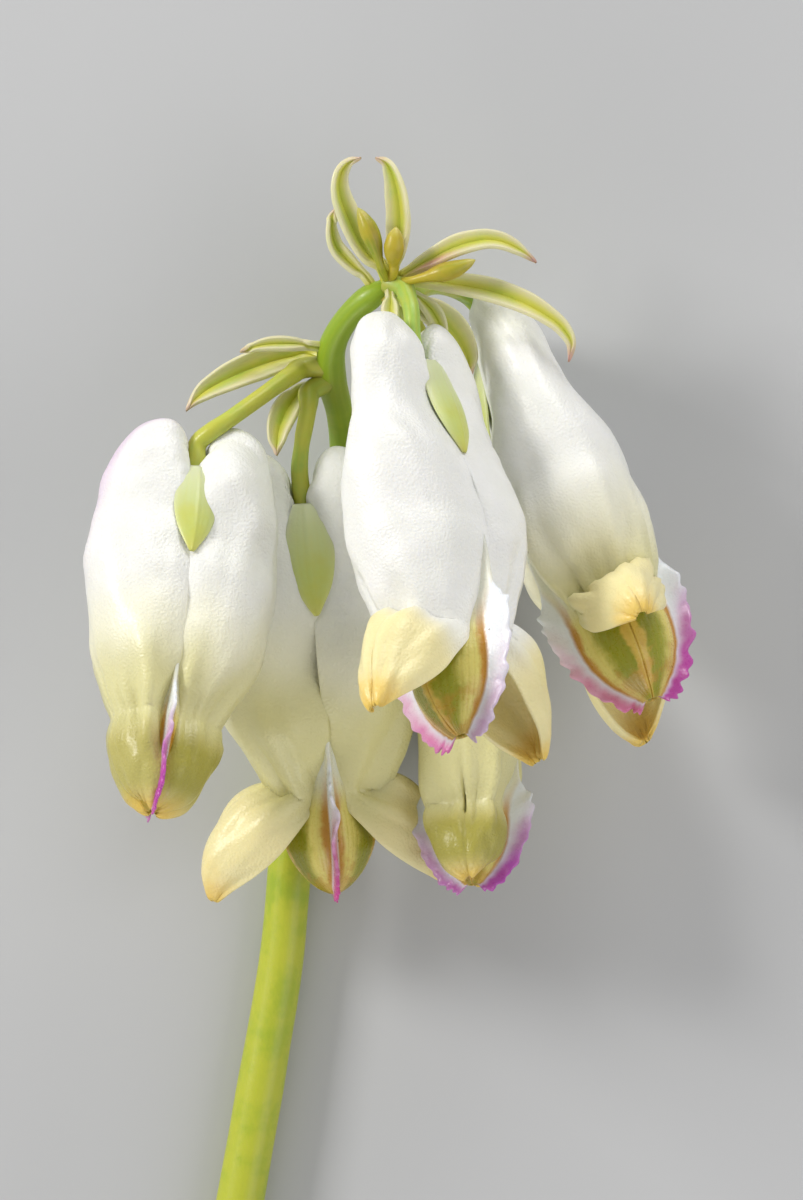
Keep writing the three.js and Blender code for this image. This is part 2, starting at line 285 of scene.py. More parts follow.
def add_loft(skin: Skin, rings: np.ndarray, values: dict[str, np.ndarray]) -> None:
    """Adds a closed body through rings of points, with a fan over each end.

    Args:
        skin: The piece that gets the body.
        rings: Rings of points, one row for each ring.
        values: Named grids of values, as large as the rings.
    """
    rows, sides = rings.shape[:2]
    index = np.arange(rows * sides).reshape(rows, sides)
    wrapped = np.hstack([index, index[:, :1]])
    faces = grid_faces(wrapped, False)
    first, last = rows * sides, rows * sides + 1
    for side in range(sides):
        after = (side + 1) % sides
        faces.append((first, int(index[0, after]), int(index[0, side])))
        faces.append((last, int(index[-1, side]), int(index[-1, after])))
    points = np.vstack([rings.reshape(-1, 3), rings[0].mean(axis=0), rings[-1].mean(axis=0)])
    spread = {
        name: np.concatenate([grid.ravel(), [grid[0].mean(), grid[-1].mean()]])
        for name, grid in values.items()
    }
    skin.add(points, faces, spread)


def rounded_thickness(full: np.ndarray, rim_rows: int, rim_columns: int) -> np.ndarray:
    """Thickness over a grid that rounds off to nothing at its border.

    Args:
        full: The grid's thickness before it is rounded off.
        rim_rows: Rows over which the thickness rounds off at each end.
        rim_columns: Columns over which it rounds off at each side.

    Returns:
        The thickness at each point of the grid, with a last axis of one.
    """
    rows, columns = full.shape
    row, column = np.arange(rows), np.arange(columns)
    along = np.clip(np.minimum(row, rows - 1 - row) / rim_rows, 0, 1)
    across = np.clip(np.minimum(column, columns - 1 - column) / rim_columns, 0, 1)
    share = np.sqrt(1 - (1 - along[:, None]) ** 2) * np.sqrt(1 - (1 - across[None, :]) ** 2)
    return (full * share)[..., None]


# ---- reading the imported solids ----


def solid_points(node: bpy.types.Object) -> tuple[np.ndarray, list[set[int]]]:
    """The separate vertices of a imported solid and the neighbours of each.

    Args:
        node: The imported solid's object.

    Returns:
        The vertices, and for each the numbers of the vertices that an edge joins to it.
    """
    raw = np.array([vertex.co for vertex in node.data.vertices])
    points, numbers = np.unique(np.round(raw, 7), axis=0, return_inverse=True)
    numbers = numbers.ravel()
    neighbours: list[set[int]] = [set() for _ in points]
    for polygon in node.data.polygons:
        corners = [int(numbers[index]) for index in polygon.vertices]
        for here, there in zip(corners, corners[1:] + corners[:1]):
            neighbours[here].add(there)
            neighbours[there].add(here)
    return points, neighbours


@dataclass
class Route:
    """The way that a stalk or a leaf runs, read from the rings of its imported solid."""

    centres: np.ndarray
    sides: np.ndarray
    uppers: np.ndarray
    widths: np.ndarray

    @classmethod
    def of(cls, node: bpy.types.Object, start_near: np.ndarray) -> "Route":
        """Reads a swept solid's rings in order.

        Args:
            node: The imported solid's object, whose ends are fans of faces round one vertex.
            start_near: The point that the route starts nearest to.

        Returns:
            The route, in metres.
        """
        points, neighbours = solid_points(node)
        counts = np.array([len(group) for group in neighbours])
        caps = np.argsort(-counts, kind="stable")[:2]
        gaps = np.linalg.norm(points[caps] - start_near, axis=1)
        level, seen, rings = {int(caps[int(gaps.argmin())])}, set(), []
        while level:
            seen |= level
            if len(level) > 1:
                rings.append(points[sorted(level)])
            level = set().union(*(neighbours[index] for index in level)) - seen
        centres = np.array([ring.mean(axis=0) for ring in rings])
        sides, uppers, widths = [], [], []
        for ring, centre in zip(rings, centres):
            spread = np.linalg.svd(ring - centre)[2]
            side, upper = spread[0], spread[1]
            if sides and side @ sides[-1] < 0:
                side = -side
            reach = (ring - centre) @ side
            edge = np.abs(reach) > 0.9 * np.abs(reach).max()
            rise = (ring[edge] - centre) @ upper
            if rise.mean() < 0:
                upper = -upper
            sides.append(side)
            uppers.append(upper)
            widths.append(np.abs(reach).max())
        return cls(centres, np.array(sides), np.array(uppers), np.array(widths))

    def rooted(self, root: np.ndarray) -> "Route":
        """The same route, started from a point inside what it grows on."""
        return Route(
            np.vstack([root, self.centres]),
            np.vstack([self.sides[:1], self.sides]),
            np.vstack([self.uppers[:1], self.uppers]),
            np.concatenate([self.widths[:1], self.widths]),
        )

    def ended(self, end: np.ndarray) -> "Route":
        """The same route, carried on to a point inside what it holds."""
        return Route(
            np.vstack([self.centres, end]),
            np.vstack([self.sides, self.sides[-1:]]),
            np.vstack([self.uppers, self.uppers[-1:]]),
            np.concatenate([self.widths, self.widths[-1:]]),
        )

    def sampled(self, count: int) -> "Route":
        """The same route with evenly spaced rings, as many as count."""
        fine = spline(self.centres, np.linspace(0, 1, 12 * len(self.centres)))
        travelled = np.concatenate([[0], np.cumsum(np.linalg.norm(np.diff(fine, axis=0), axis=1))])
        even = np.interp(
            np.linspace(0, travelled[-1], count), travelled, np.linspace(0, 1, len(fine))
        )
        uppers = unit(spline(self.uppers, even))
        centres = spline(self.centres, even)
        tangents = unit(np.gradient(centres, axis=0))
        sides = unit(np.cross(tangents, uppers))
        return Route(centres, sides, np.cross(sides, tangents), spline(self.widths[:, None], even)[:, 0])

    def untwisted(self) -> "Route":
        """The same route for a round piece, with sides that turn no more than the route bends."""
        tangents = unit(np.gradient(self.centres, axis=0))
        sides = [self.sides[0]]
        for tangent in tangents[1:]:
            carried = sides[-1] - tangent * (sides[-1] @ tangent)
            sides.append(carried / np.linalg.norm(carried))
        return Route(self.centres, np.array(sides), np.cross(sides, tangents), self.widths)

    def rings(self, angle: np.ndarray, reach: np.ndarray) -> np.ndarray:
        """Rings of points round the route, at the angles and the distances given."""
        return (
            self.centres[:, None, :]
            + self.sides[:, None, :] * (reach * np.cos(angle))[..., None]
            + self.uppers[:, None, :] * (reach * np.sin(angle))[..., None]
        )

    def nearest(self, point: np.ndarray) -> np.ndarray:
        """The point of the route's middle line that is nearest to a point."""
        return self.centres[np.linalg.norm(self.centres - point, axis=1).argmin()]


@dataclass
class FlowerFrame:
    """Where a flower sits: its origin, its axes in the columns of turn, and metres to its millimetre.

    INNER_TOP is where its inner petals' solids start along Y, and INNER_SPAN is how long they are.
    """

    origin: np.ndarray
    turn: np.ndarray
    size: float

    INNER_TOP: ClassVar[float] = -0.487
    INNER_SPAN: ClassVar[float] = 17.213

    @classmethod
    def of(cls, nodes: dict[str, bpy.types.Object], name: str) -> "FlowerFrame":
        """Reads a flower's frame from its inner petals and its sepals, which are alike front and back.

        Args:
            nodes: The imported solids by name.
            name: The flower's name.

        Returns:
            The flower's frame.
        """
        front, back, *sepals = (
            solid_points(nodes[f"{name}_flower_{piece}"])[0]
            for piece in ("inner_petal_front", "inner_petal_back", "sepal_front", "sepal_back")
        )
        inner = np.vstack([front, back])
        middle = inner.mean(axis=0)
        up = unit(np.vstack(sepals).mean(axis=0) - middle)
        ahead = front.mean(axis=0) - back.mean(axis=0)
        ahead = unit(ahead - up * (ahead @ up))
        reach = (inner - middle) @ up
        size = (reach.max() - reach.min()) / cls.INNER_SPAN
        origin = middle + up * (reach.max() - cls.INNER_TOP * size)
        return cls(origin, np.column_stack([np.cross(up, ahead), up, ahead]), size)

    def placed(self, points: np.ndarray, half_turn: bool = False) -> np.ndarray:
        """Puts points of the flower's own frame into the scene.

        Args:
            points: Points in the flower's millimetres.
            half_turn: Whether they are first turned half round the flower's axis.

        Returns:
            The points in the scene, in metres.
        """
        facing = np.array([-1, 1, -1]) if half_turn else np.ones(3)
        return self.origin + (points * facing * self.size) @ self.turn.T


# ---- shader node groups and finishes ----


class Bench:
    """Lays out and links the nodes of one node tree."""

    def __init__(self, tree: bpy.types.NodeTree) -> None:
        """Keeps the tree that the nodes go into."""
        self.tree = tree

    def node(self, kind: str, inputs: dict[Any, Any] | None = None, **settings: Any) -> bpy.types.Node:
        """Adds a node.

        Args:
            kind: The node's type.
            inputs: Values or sockets for its inputs, by name or number.
            **settings: The node's own settings.

        Returns:
            The new node.
        """
        made = self.tree.nodes.new(kind)
        for name, value in settings.items():
            setattr(made, name, value)
        for key, value in (inputs or {}).items():
            if isinstance(value, bpy.types.NodeSocket):
                self.tree.links.new(value, made.inputs[key])
            else:
                made.inputs[key].default_value = value
        return made

    def value(self, name: str) -> bpy.types.NodeSocket:
        """A named surface value of the piece."""
        return self.node("ShaderNodeAttribute", attribute_name=name).outputs["Fac"]

    def maths(self, operation: str, first: Any, second: Any = 0.0) -> bpy.types.NodeSocket:
        """The result of an operation on two numbers."""
        return self.node("ShaderNodeMath", {0: first, 1: second}, operation=operation).outputs[0]

    def eased(self, value: Any, low: float, high: float, floor: float = 0.0, top: float = 1.0) -> Any:
        """A value eased from floor at low to top at high."""
        inputs = {"Value": value, "From Min": low, "From Max": high, "To Min": floor, "To Max": top}
        made = self.node("ShaderNodeMapRange", inputs, interpolation_type="SMOOTHSTEP")
        return made.outputs["Result"]

    def mixed(self, share: Any, first: Any, second: Any) -> bpy.types.NodeSocket:
        """A colour between two colours or colour sockets."""
        made = self.node("ShaderNodeMix", data_type="RGBA")
        for number, given in ((0, share), (6, first), (7, second)):
            if isinstance(given, bpy.types.NodeSocket):
                self.tree.links.new(given, made.inputs[number])
            else:
                made.inputs[number].default_value = (*given, 1.0) if isinstance(given, tuple) else given
        return made.outputs[2]

    def group(self, tree: bpy.types.NodeTree, **inputs: Any) -> bpy.types.Node:
        """Places a node group, with its inputs given by name and underscores for spaces."""
        made = self.node("ShaderNodeGroup", node_tree=tree)
        for name, value in inputs.items():
            key = name.replace("_", " ")
            if isinstance(value, bpy.types.NodeSocket):
                self.tree.links.new(value, made.inputs[key])
            else:
                made.inputs[key].default_value = value
        return made


def new_group(name: str, inputs: dict[str, float], outputs: Sequence[str]) -> tuple[Any, Any, Any]:
    """Starts a shader node group.

    Args:
        name: The group's name.
        inputs: The default value of each input.
        outputs: The names of its outputs.

    Returns:
        The group's tree, its input node and its output node.
    """
    tree = bpy.data.node_groups.new(name, "ShaderNodeTree")
    for label, default in inputs.items():
        socket = tree.interface.new_socket(label, in_out="INPUT", socket_type="NodeSocketFloat")
        socket.default_value = default
    for label in outputs:
        tree.interface.new_socket(label, in_out="OUTPUT", socket_type="NodeSocketFloat")
    return tree, tree.nodes.new("NodeGroupInput"), tree.nodes.new("NodeGroupOutput")


class Effects:
    """The effects that several finishes share, each a node group that is built once."""

    def __init__(self) -> None:
        """Builds the groups."""
        self.tissue = self._tissue()
        self.veins = self._veins()
        self.specks = self._specks()

    @staticmethod
    def _tissue() -> bpy.types.NodeTree:
        """Builds the grain of plump cells on a petal or a leaf, with broad soft patches."""
        inputs = {"Cells": 7000.0, "Patches": 500.0}
        tree, given, result = new_group("tissue", inputs, ("Height", "Patch", "Grain"))
        bench = Bench(tree)
        where = bench.node("ShaderNodeTexCoord").outputs["Object"]
        cells = bench.node("ShaderNodeTexVoronoi", {"Vector": where, "Scale": given.outputs["Cells"]})
        cells.feature = "SMOOTH_F1"
        plump = bench.maths("SUBTRACT", 1.0, cells.outputs["Distance"])
        broad = {"Vector": where, "Scale": given.outputs["Patches"], "Detail": 3.0, "Roughness": 0.6}
        patch = bench.node("ShaderNodeTexNoise", broad).outputs["Fac"]
        fine = {"Vector": where, "Scale": given.outputs["Cells"], "Detail": 2.0}
        grain = bench.node("ShaderNodeTexNoise", fine).outputs["Fac"]
        tree.links.new(plump, result.inputs["Height"])
        tree.links.new(patch, result.inputs["Patch"])
        tree.links.new(grain, result.inputs["Grain"])
        return tree

    @staticmethod
    def _veins() -> bpy.types.NodeTree:
        """Builds fine lines that run lengthwise and wander a little."""
        inputs = {"Across": 0.0, "Length": 0.0, "Count": 20.0, "Wander": 0.6, "Width": 0.5}
        tree, given, result = new_group("veins", inputs, ("Lines",))
        bench = Bench(tree)
        stretched = bench.maths("MULTIPLY", given.outputs["Length"], 0.5)
        place = bench.node("ShaderNodeCombineXYZ", {"X": given.outputs["Across"], "Y": stretched})
        drift = bench.node("ShaderNodeTexNoise", {"Vector": place.outputs[0], "Scale": 3.0}).outputs["Fac"]
        swing = bench.maths("MULTIPLY", drift, given.outputs["Wander"])
        phase = bench.maths("MULTIPLY", given.outputs["Across"], given.outputs["Count"])
        wave = bench.maths("SINE", bench.maths("ADD", phase, bench.maths("MULTIPLY", swing, math.tau)))
        raised = bench.maths("MULTIPLY", bench.maths("ADD", wave, 1.0), 0.5)
        sharp = bench.maths("DIVIDE", 1.0, given.outputs["Width"])
        tree.links.new(bench.maths("POWER", raised, sharp), result.inputs["Lines"])
        return tree

    @staticmethod
    def _specks() -> bpy.types.NodeTree:
        """Builds a few tiny round dark specks."""
        tree, given, result = new_group("specks", {"Spacing": 500.0, "Size": 0.06}, ("Mask",))
        bench = Bench(tree)
        where = bench.node("ShaderNodeTexCoord").outputs["Object"]
        spots = bench.node("ShaderNodeTexVoronoi", {"Vector": where, "Scale": given.outputs["Spacing"]})
        near = bench.maths("LESS_THAN", spots.outputs["Distance"], given.outputs["Size"])
        tree.links.new(near, result.inputs["Mask"])
        return tree


def shaded(name: str) -> tuple[bpy.types.Material, Bench, bpy.types.Node]:
    """Starts a material.

    Args:
        name: The material's name.

    Returns:
        The material, a bench for its nodes and its Principled shader.
    """
    made = bpy.data.materials.new(name)
    made.use_nodes = True
    return made, Bench(made.node_tree), made.node_tree.nodes["Principled BSDF"]


def dress(
    bench: Bench,
    shader: bpy.types.Node,
    colour: bpy.types.NodeSocket,
    heights: Sequence[tuple[bpy.types.NodeSocket, float]],
    roughness: bpy.types.NodeSocket,
) -> None:
    """Links a colour, a roughness and stacked bumps to a shader.

    Args:
        bench: The material's bench.
        shader: Its Principled shader.
        colour: Its colour.
        heights: Bump heights from 0 to 1, each with its depth in metres.
        roughness: Its roughness.
    """
    bench.tree.links.new(colour, shader.inputs["Base Color"])
    bench.tree.links.new(roughness, shader.inputs["Roughness"])
    normal = None
    for height, depth in heights:
        bump = bench.node("ShaderNodeBump", {"Height": height, "Distance": depth, "Strength": 1.0})
        if normal is not None:
            bench.tree.links.new(normal, bump.inputs["Normal"])
        normal = bump.outputs["Normal"]
    bench.tree.links.new(normal, shader.inputs["Normal"])


def soften(shader: bpy.types.Node, weight: float, depth: float, tint: Colour, wax: float) -> None:
    """Sets how far light spreads in the tissue and how waxy it is.

    Args:
        shader: The Principled shader.
        weight: Share of the light that spreads under the surface.
        depth: How far it spreads, in metres.
        tint: How far red, green and blue spread, as shares of depth.
        wax: Weight of the thin waxy coat.
    """
    shader.inputs["Subsurface Weight"].default_value = weight
    shader.inputs["Subsurface Radius"].default_value = tint
    shader.inputs["Subsurface Scale"].default_value = depth
    shader.inputs["Coat Weight"].default_value = wax
    shader.inputs["Coat Roughness"].default_value = COAT_ROUGHNESS
    shader.inputs["Specular IOR Level"].default_value = TISSUE_GLOSS


@dataclass(frozen=True)
class OuterPetalFinish:
    """Waxy white that ripens to cream at the neck and to yellow at the lip's tip."""

    white: Colour = (0.91, 0.91, 0.89)
    shade: Colour = (0.87, 0.875, 0.84)
    cream: Colour = (0.87, 0.85, 0.67)
    ripe: Colour = (0.74, 0.70, 0.36)
    olive: Colour = (0.36, 0.33, 0.035)
    lip: Colour = (0.89, 0.79, 0.42)
    lip_tip: Colour = (0.84, 0.55, 0.08)
    lilac: Colour = (0.70, 0.52, 0.72)
    speck: Colour = (0.12, 0.10, 0.08)
    cell_depth: float = 0.00003
    vein_depth: float = 0.000005

    def material(self, effects: Effects) -> bpy.types.Material:
        """Builds the material."""
        made, bench, shader = shaded("outer_petal")
        tissue = bench.group(effects.tissue, Cells=9000.0, Patches=420.0)
        across, length = bench.value("across"), bench.value("length")
        veins = bench.group(effects.veins, Across=across, Length=length, Count=46.0, Wander=1.2, Width=0.7)
        lines = veins.outputs["Lines"]
        patch = bench.eased(tissue.outputs["Patch"], 0.35, 0.7)
        colour = bench.mixed(patch, self.shade, self.white)
        ripe = bench.value("ripe")
        colour = bench.mixed(bench.eased(ripe, 0.0, 0.6), colour, self.cream)
        colour = bench.mixed(bench.eased(ripe, 0.5, 1.0), colour, self.ripe)
        lip = bench.value("lip")
        streaked = bench.maths("MULTIPLY", lines, 0.12)
        cream = bench.mixed(streaked, self.lip, self.ripe)
        colour = bench.mixed(bench.eased(lip, 0.02, 0.35), colour, cream)
        deep = bench.maths("ADD", lip, bench.eased(tissue.outputs["Patch"], 0.3, 0.7, -0.06, 0.06))
        colour = bench.mixed(bench.eased(deep, 0.62, 1.0, 0.0, 0.9), colour, self.lip_tip)
        colour = bench.mixed(bench.value("olive"), colour, self.olive)
        colour = bench.mixed(bench.value("lilac"), colour, self.lilac)
        specks = bench.group(effects.specks, Spacing=330.0, Size=0.016).outputs["Mask"]
        colour = bench.mixed(bench.maths("MULTIPLY", specks, 0.6), colour, self.speck)
        rough = bench.eased(tissue.outputs["Grain"], 0.3, 0.7, 0.34, 0.52)
        heights = [(tissue.outputs["Height"], self.cell_depth), (lines, self.vein_depth)]
        dress(bench, shader, colour, heights, rough)
        soften(shader, 0.2, 0.0005, (1.0, 0.9, 0.7), 0.25)
        return made


@dataclass(frozen=True)
class InnerPetalFinish:
    """Olive, gold and brown bands on the blade, and a white crest that blushes at its wavy edge."""

    claw: Colour = (0.84, 0.84, 0.72)
    yellow: Colour = (0.72, 0.62, 0.16)
    olive: Colour = (0.30, 0.31, 0.012)
    brown: Colour = (0.52, 0.25, 0.02)
    gold: Colour = (0.74, 0.52, 0.10)
    crest: Colour = (0.80, 0.84, 0.90)
    violet: Colour = (0.42, 0.07, 0.46)
    rose: Colour = (0.66, 0.07, 0.26)
    speck: Colour = (0.10, 0.05, 0.02)
    cell_depth: float = 0.000014
    vein_depth: float = 0.00001

    def material(self, effects: Effects) -> bpy.types.Material:
        """Builds the material."""
        made, bench, shader = shaded("inner_petal")
        tissue = bench.group(effects.tissue, Cells=8000.0, Patches=900.0)
        across, length = bench.value("across"), bench.value("length")
        wobble = bench.eased(tissue.outputs["Patch"], 0.3, 0.7, -0.06, 0.06)
        side = bench.maths("ADD", bench.maths("ABSOLUTE", across), wobble)
        veins = bench.group(effects.veins, Across=across, Length=length, Count=60.0, Wander=0.7, Width=0.5)
        lines = veins.outputs["Lines"]
        band = bench.mixed(bench.eased(side, 0.13, 0.3), self.brown, self.yellow)
        band = bench.mixed(bench.eased(side, 0.4, 0.66), band, self.olive)
        band = bench.mixed(bench.eased(side, 0.86, 0.97), band, self.gold)
        band = bench.mixed(bench.maths("MULTIPLY", lines, 0.07), band, self.brown)
        tip = bench.eased(bench.maths("ADD", length, wobble), 0.93, 1.0, 0.0, 0.5)
        band = bench.mixed(tip, band, self.brown)
        colour = bench.mixed(bench.eased(length, 0.66, 0.8), self.claw, band)
        crest = bench.value("crest")
        hue = bench.mixed(bench.value("rose"), self.violet, self.rose)
        blush = bench.maths("ADD", bench.value("blush"), wobble)
        fringe = bench.mixed(bench.eased(blush, 0.02, 1.0), self.crest, hue)
        colour = bench.mixed(bench.eased(crest, 0.03, 0.2), colour, fringe)
        specks = bench.group(effects.specks, Spacing=700.0, Size=0.04).outputs["Mask"]
        colour = bench.mixed(bench.maths("MULTIPLY", specks, 0.7), colour, self.speck)
        rough = bench.eased(tissue.outputs["Grain"], 0.3, 0.7, 0.24, 0.45)
        heights = [(tissue.outputs["Height"], self.cell_depth), (lines, self.vein_depth)]
        dress(bench, shader, colour, heights, rough)
        soften(shader, 0.3, 0.0008, (1.0, 0.8, 0.7), 0.3)
        return made


@dataclass(frozen=True)
class LeafFinish:
    """A green leaf or stalk with fine lengthwise lines, paler margins and a tinted tip."""

    name: str
    green: Colour
    yellow: Colour
    margin: Colour
    tip: Colour
    lines: float = 26.0
    line_strength: float = 0.35
    line_depth: float = 0.000003
    cell_depth: float = 0.000008
    wander: float = 0.1
    wax: float = 0.15

    def material(self, effects: Effects) -> bpy.types.Material:
        """Builds the material."""
        made, bench, shader = shaded(self.name)
        tissue = bench.group(effects.tissue, Cells=8000.0, Patches=600.0)
        across, length = bench.value("across"), bench.value("length")
        veins = bench.group(
            effects.veins, Across=across, Length=length, Count=self.lines, Wander=self.wander, Width=0.6
        )
        lines = veins.outputs["Lines"]
        drift = bench.eased(tissue.outputs["Patch"], 0.3, 0.7, -0.3, 0.3)
        tone = bench.maths("ADD", bench.value("tone"), drift)
        colour = bench.mixed(bench.eased(tone, 0.0, 1.0), self.green, self.yellow)
        colour = bench.mixed(bench.maths("MULTIPLY", lines, self.line_strength), colour, self.yellow)
        colour = bench.mixed(bench.value("pale"), colour, self.margin)
        colour = bench.mixed(bench.value("tinge"), colour, self.tip)
        rough = bench.eased(tissue.outputs["Grain"], 0.3, 0.7, 0.34, 0.5)
        heights = [(tissue.outputs["Height"], self.cell_depth), (lines, self.line_depth)]
        dress(bench, shader, colour, heights, rough)
        soften(shader, 0.25, 0.0008, (0.8, 1.0, 0.3), self.wax)
        return made


@dataclass(frozen=True)
class TableFinish:
    """Plain pale matt table."""

    colour: Colour = (0.52, 0.53, 0.55)
    roughness: float = 0.75

    def material(self) -> bpy.types.Material:
        """Builds the material."""
        made, _, shader = shaded("table")
        shader.inputs["Base Color"].default_value = (*self.colour, 1.0)
        shader.inputs["Roughness"].default_value = self.roughness
        return made


# ---- pieces ----


class Face(Enum):
    """The two faces of a flower, and whether each is reached by a half turn."""

    FRONT = False
    BACK = True


class Hand(Enum):
    """The two outer petals of a flower, and whether each is reached by a half turn."""

    RIGHT = False
    LEFT = True


def place(piece: bpy.types.Object, node: str, slot: str) -> None:
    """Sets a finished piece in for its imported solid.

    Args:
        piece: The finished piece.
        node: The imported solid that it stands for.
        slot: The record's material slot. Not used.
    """
    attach(piece, BODY)
    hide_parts(node)
    log.info("%s: %d faces", piece.name, len(piece.data.polygons))


@dataclass
class OuterPetal:
    """A pouch with a spur above the stalk's end, a neck, and a hooded lip that turns out.

    The margin's stations are [x, y, half-width of the petal there], and the keel's are [x, y]. The pleats
    deepen from pleat_zone's first y down to its second. The lip starts at the share lip_from of the length.
    """

    openness: float
    seed: int
    ripe_from: float = 0.66
    lilac: float = 0.0
    olive: float = 0.0
    top_width: float = 1.0
    lap: float = 0.0
    lip_scale: float = 1.0
    thickness: float = 0.3
    rows: int = 112
    columns: int = 61
    wrap: float = math.radians(110)
    pouch_margin: tuple[Station, ...] = (
        (0.3, -0.3, 0.4), (0.36, -0.4, 0.75), (0.42, -0.5, 1.0), (0.45, -0.7, 1.25), (0.4, -1.1, 1.4),
        (0.08, -2.0, 1.6), (-0.05, -4.4, 2.1), (-0.07, -7.2, 2.7), (-0.05, -9.4, 2.7), (0.0, -11.4, 2.15),
        (0.16, -12.8, 1.6),
    )
    pouch_keel: tuple[Station, ...] = (
        (0.68, 0.35), (0.85, 1.6), (1.6, 2.35), (2.65, 2.0), (3.6, 0.9), (4.3, -0.9), (4.65, -4.0),
        (4.5, -7.2), (3.85, -9.6), (2.75, -11.7), (2.0, -12.9),
    )
    open_margin: tuple[Station, ...] = (
        (1.35, -14.3, 1.75), (2.3, -15.4, 1.75), (3.45, -16.4, 1.35), (4.5, -17.1, 0.8), (5.15, -17.6, 0.25),
    )
    open_keel: tuple[Station, ...] = (
        (2.8, -12.9), (4.0, -13.3), (5.05, -14.5), (5.55, -16.1), (5.35, -17.5),
    )
    closed_margin: tuple[Station, ...] = (
        (0.12, -13.9, 1.85), (0.04, -14.9, 2.05), (0.03, -15.8, 1.95), (0.02, -16.7, 1.35),
        (0.02, -17.35, 0.12),
    )
    closed_keel: tuple[Station, ...] = (
        (2.0, -13.8), (2.2, -14.7), (2.1, -15.8), (1.5, -16.8), (0.25, -17.45),
    )
    neck: tuple[float, float] = (1.8, -12.9)
    lip_from: float = 0.7
    pleats: int = 11
    pleat_zone: tuple[float, float] = (-6.0, -11.5)
    pleat_depth: float = 0.42
    dent_depth: float = 0.26
    rumple_depth: float = 0.06
    margin_ripple: float = 0.1
    keel_ridge: float = 0.1

    def lip(self, closed: Sequence[Station], opened: Sequence[Station]) -> np.ndarray:
        """The lip's stations at the petal's openness, turned back about the neck when it is more than 1."""
        shut, wide = np.array(closed, float), np.array(opened, float)
        made = shut + (wide - shut) * min(self.openness, 1.0)
        curl = max(self.openness - 1.0, 0.0)
        neck = np.array(self.neck)
        turn = np.array([[math.cos(curl), -math.sin(curl)], [math.sin(curl), math.cos(curl)]])
        made[:, :2] = (made[:, :2] - neck) @ turn.T * self.lip_scale + neck
        return made

    def middle(self, a: np.ndarray, b: np.ndarray) -> np.ndarray:
        """The smooth surface half-way through the petal.

        Args:
            a: Places along the petal, from its base at 0 to the lip's tip at 1.
            b: Places across it, from one margin at -1 over the keel to the other at 1.

        Returns:
            A grid of points.
        """
        margin = spline(np.vstack([self.pouch_margin, self.lip(self.closed_margin, self.open_margin)]), a)
        keel = spline(np.vstack([self.pouch_keel, self.lip(self.closed_keel, self.open_keel)]), a)
        slim = 1 - (1 - self.top_width) * (1 - smoothstep(1.0, 9.0, -margin[:, 1]))
        margin[:, 2] *= slim
        keel[:, 0] *= 0.5 + 0.5 * slim
        margin[:, 0] -= self.lap * hump(-8.8, 2.4, margin[:, 1]) * (a < 0.9)
        angle = b * self.wrap
        share = (np.cos(angle) - math.cos(self.wrap)) / (1 - math.cos(self.wrap))
        x = margin[:, :1] + (keel[:, :1] - margin[:, :1]) * share
        y = margin[:, 1:2] + (keel[:, 1:2] - margin[:, 1:2]) * share
        return np.stack([x, y, margin[:, 2:3] * np.sin(angle)], axis=-1)

    def relief(self, a: np.ndarray, b: np.ndarray, y: np.ndarray) -> np.ndarray:
        """How far the surface stands proud of the smooth one: pleats, dents, ripples and the keel."""
        rng = np.random.default_rng(self.seed)
        rise = np.zeros((len(a), len(b)))
        along, across = a[:, None], b[None, :]
        pull = smoothstep(*self.pleat_zone, y) * (1 - smoothstep(0.74, 0.86, along))
        for _ in range(self.pleats):
            line = rng.uniform(-0.85, 0.85) + rng.uniform(-0.15, 0.15) * (along - 0.6)
            crease = hump(0.0, rng.uniform(0.04, 0.09), across - line)
            start = rng.uniform(0.34, 0.52)
            depth = self.pleat_depth * rng.uniform(0.3, 1.0)
            rise -= depth * crease * pull * smoothstep(start, start + 0.2, along)
        round_petal = 4.0 * across * np.ones_like(y)
        rise += self.dent_depth * Rumple(rng, 9.0, 3.5).at(round_petal, y)
        rise += self.rumple_depth * Rumple(rng, 1.8, 0.7).at(round_petal, 0.6 * y)
        rise += self.margin_ripple * Ripple(rng, 3.0, 9.0).at(along) * np.abs(across) ** 6
        rise += self.keel_ridge * hump(0.0, 0.05, across) * smoothstep(0.3, 0.8, along)
        return rise * smoothstep(0.0, 0.06, along)

    def skin(self, frame: FlowerFrame, hand: Hand) -> Skin:
        """Builds the petal's skin in place.

        Args:
            frame: The flower's frame.
            hand: Which of the two outer petals it is.

        Returns:
            The skin, with the values that its finish reads.
        """
        a = np.linspace(0, 1, self.rows)
        b = np.sin(0.5 * math.pi * np.linspace(-1, 1, self.columns))
        smooth = self.middle(a, b)
        rise = self.relief(a, b, smooth[..., 1])
        middle = smooth - grid_normals(smooth) * rise[..., None]
        normals = grid_normals(middle)
        full = self.thickness * (1 - 0.35 * np.abs(b[None, :]) ** 3) * np.ones((self.rows, 1))
        thick = rounded_thickness(full, 3, 5)
        length = -middle[..., 1] / FLOWER_LENGTH
        lip = np.clip((a[:, None] - self.lip_from) / (1 - self.lip_from), 0, 1) * np.ones_like(length)
        rng = np.random.default_rng(self.seed + 7)
        drift = 0.05 * Ripple(rng, 0.5, 2.0).at(b[None, :] * np.ones_like(length))
        values = {
            "across": b[None, :] * np.ones_like(length),
            "length": length,
            "ripe": smoothstep(self.ripe_from - 0.35, self.ripe_from + 0.15, length + drift),
            "lip": lip,
            "lilac": self.lilac * hump(0.0, 0.2, b[None, :]) * (1 - smoothstep(0.0, 0.45, length)),
            "olive": self.olive * smoothstep(0.74, 0.86, length) * (1 - smoothstep(0.94, 1.03, length)),
        }
        skin = Skin()
        upper = frame.placed(middle - normals * thick / 2, hand.value)
        lower = frame.placed(middle + normals * thick / 2, hand.value)
        for face in (upper, lower):
            face[..., 2] = np.maximum(face[..., 2], TABLE_TOP)
        add_shell(skin, upper, lower, values)
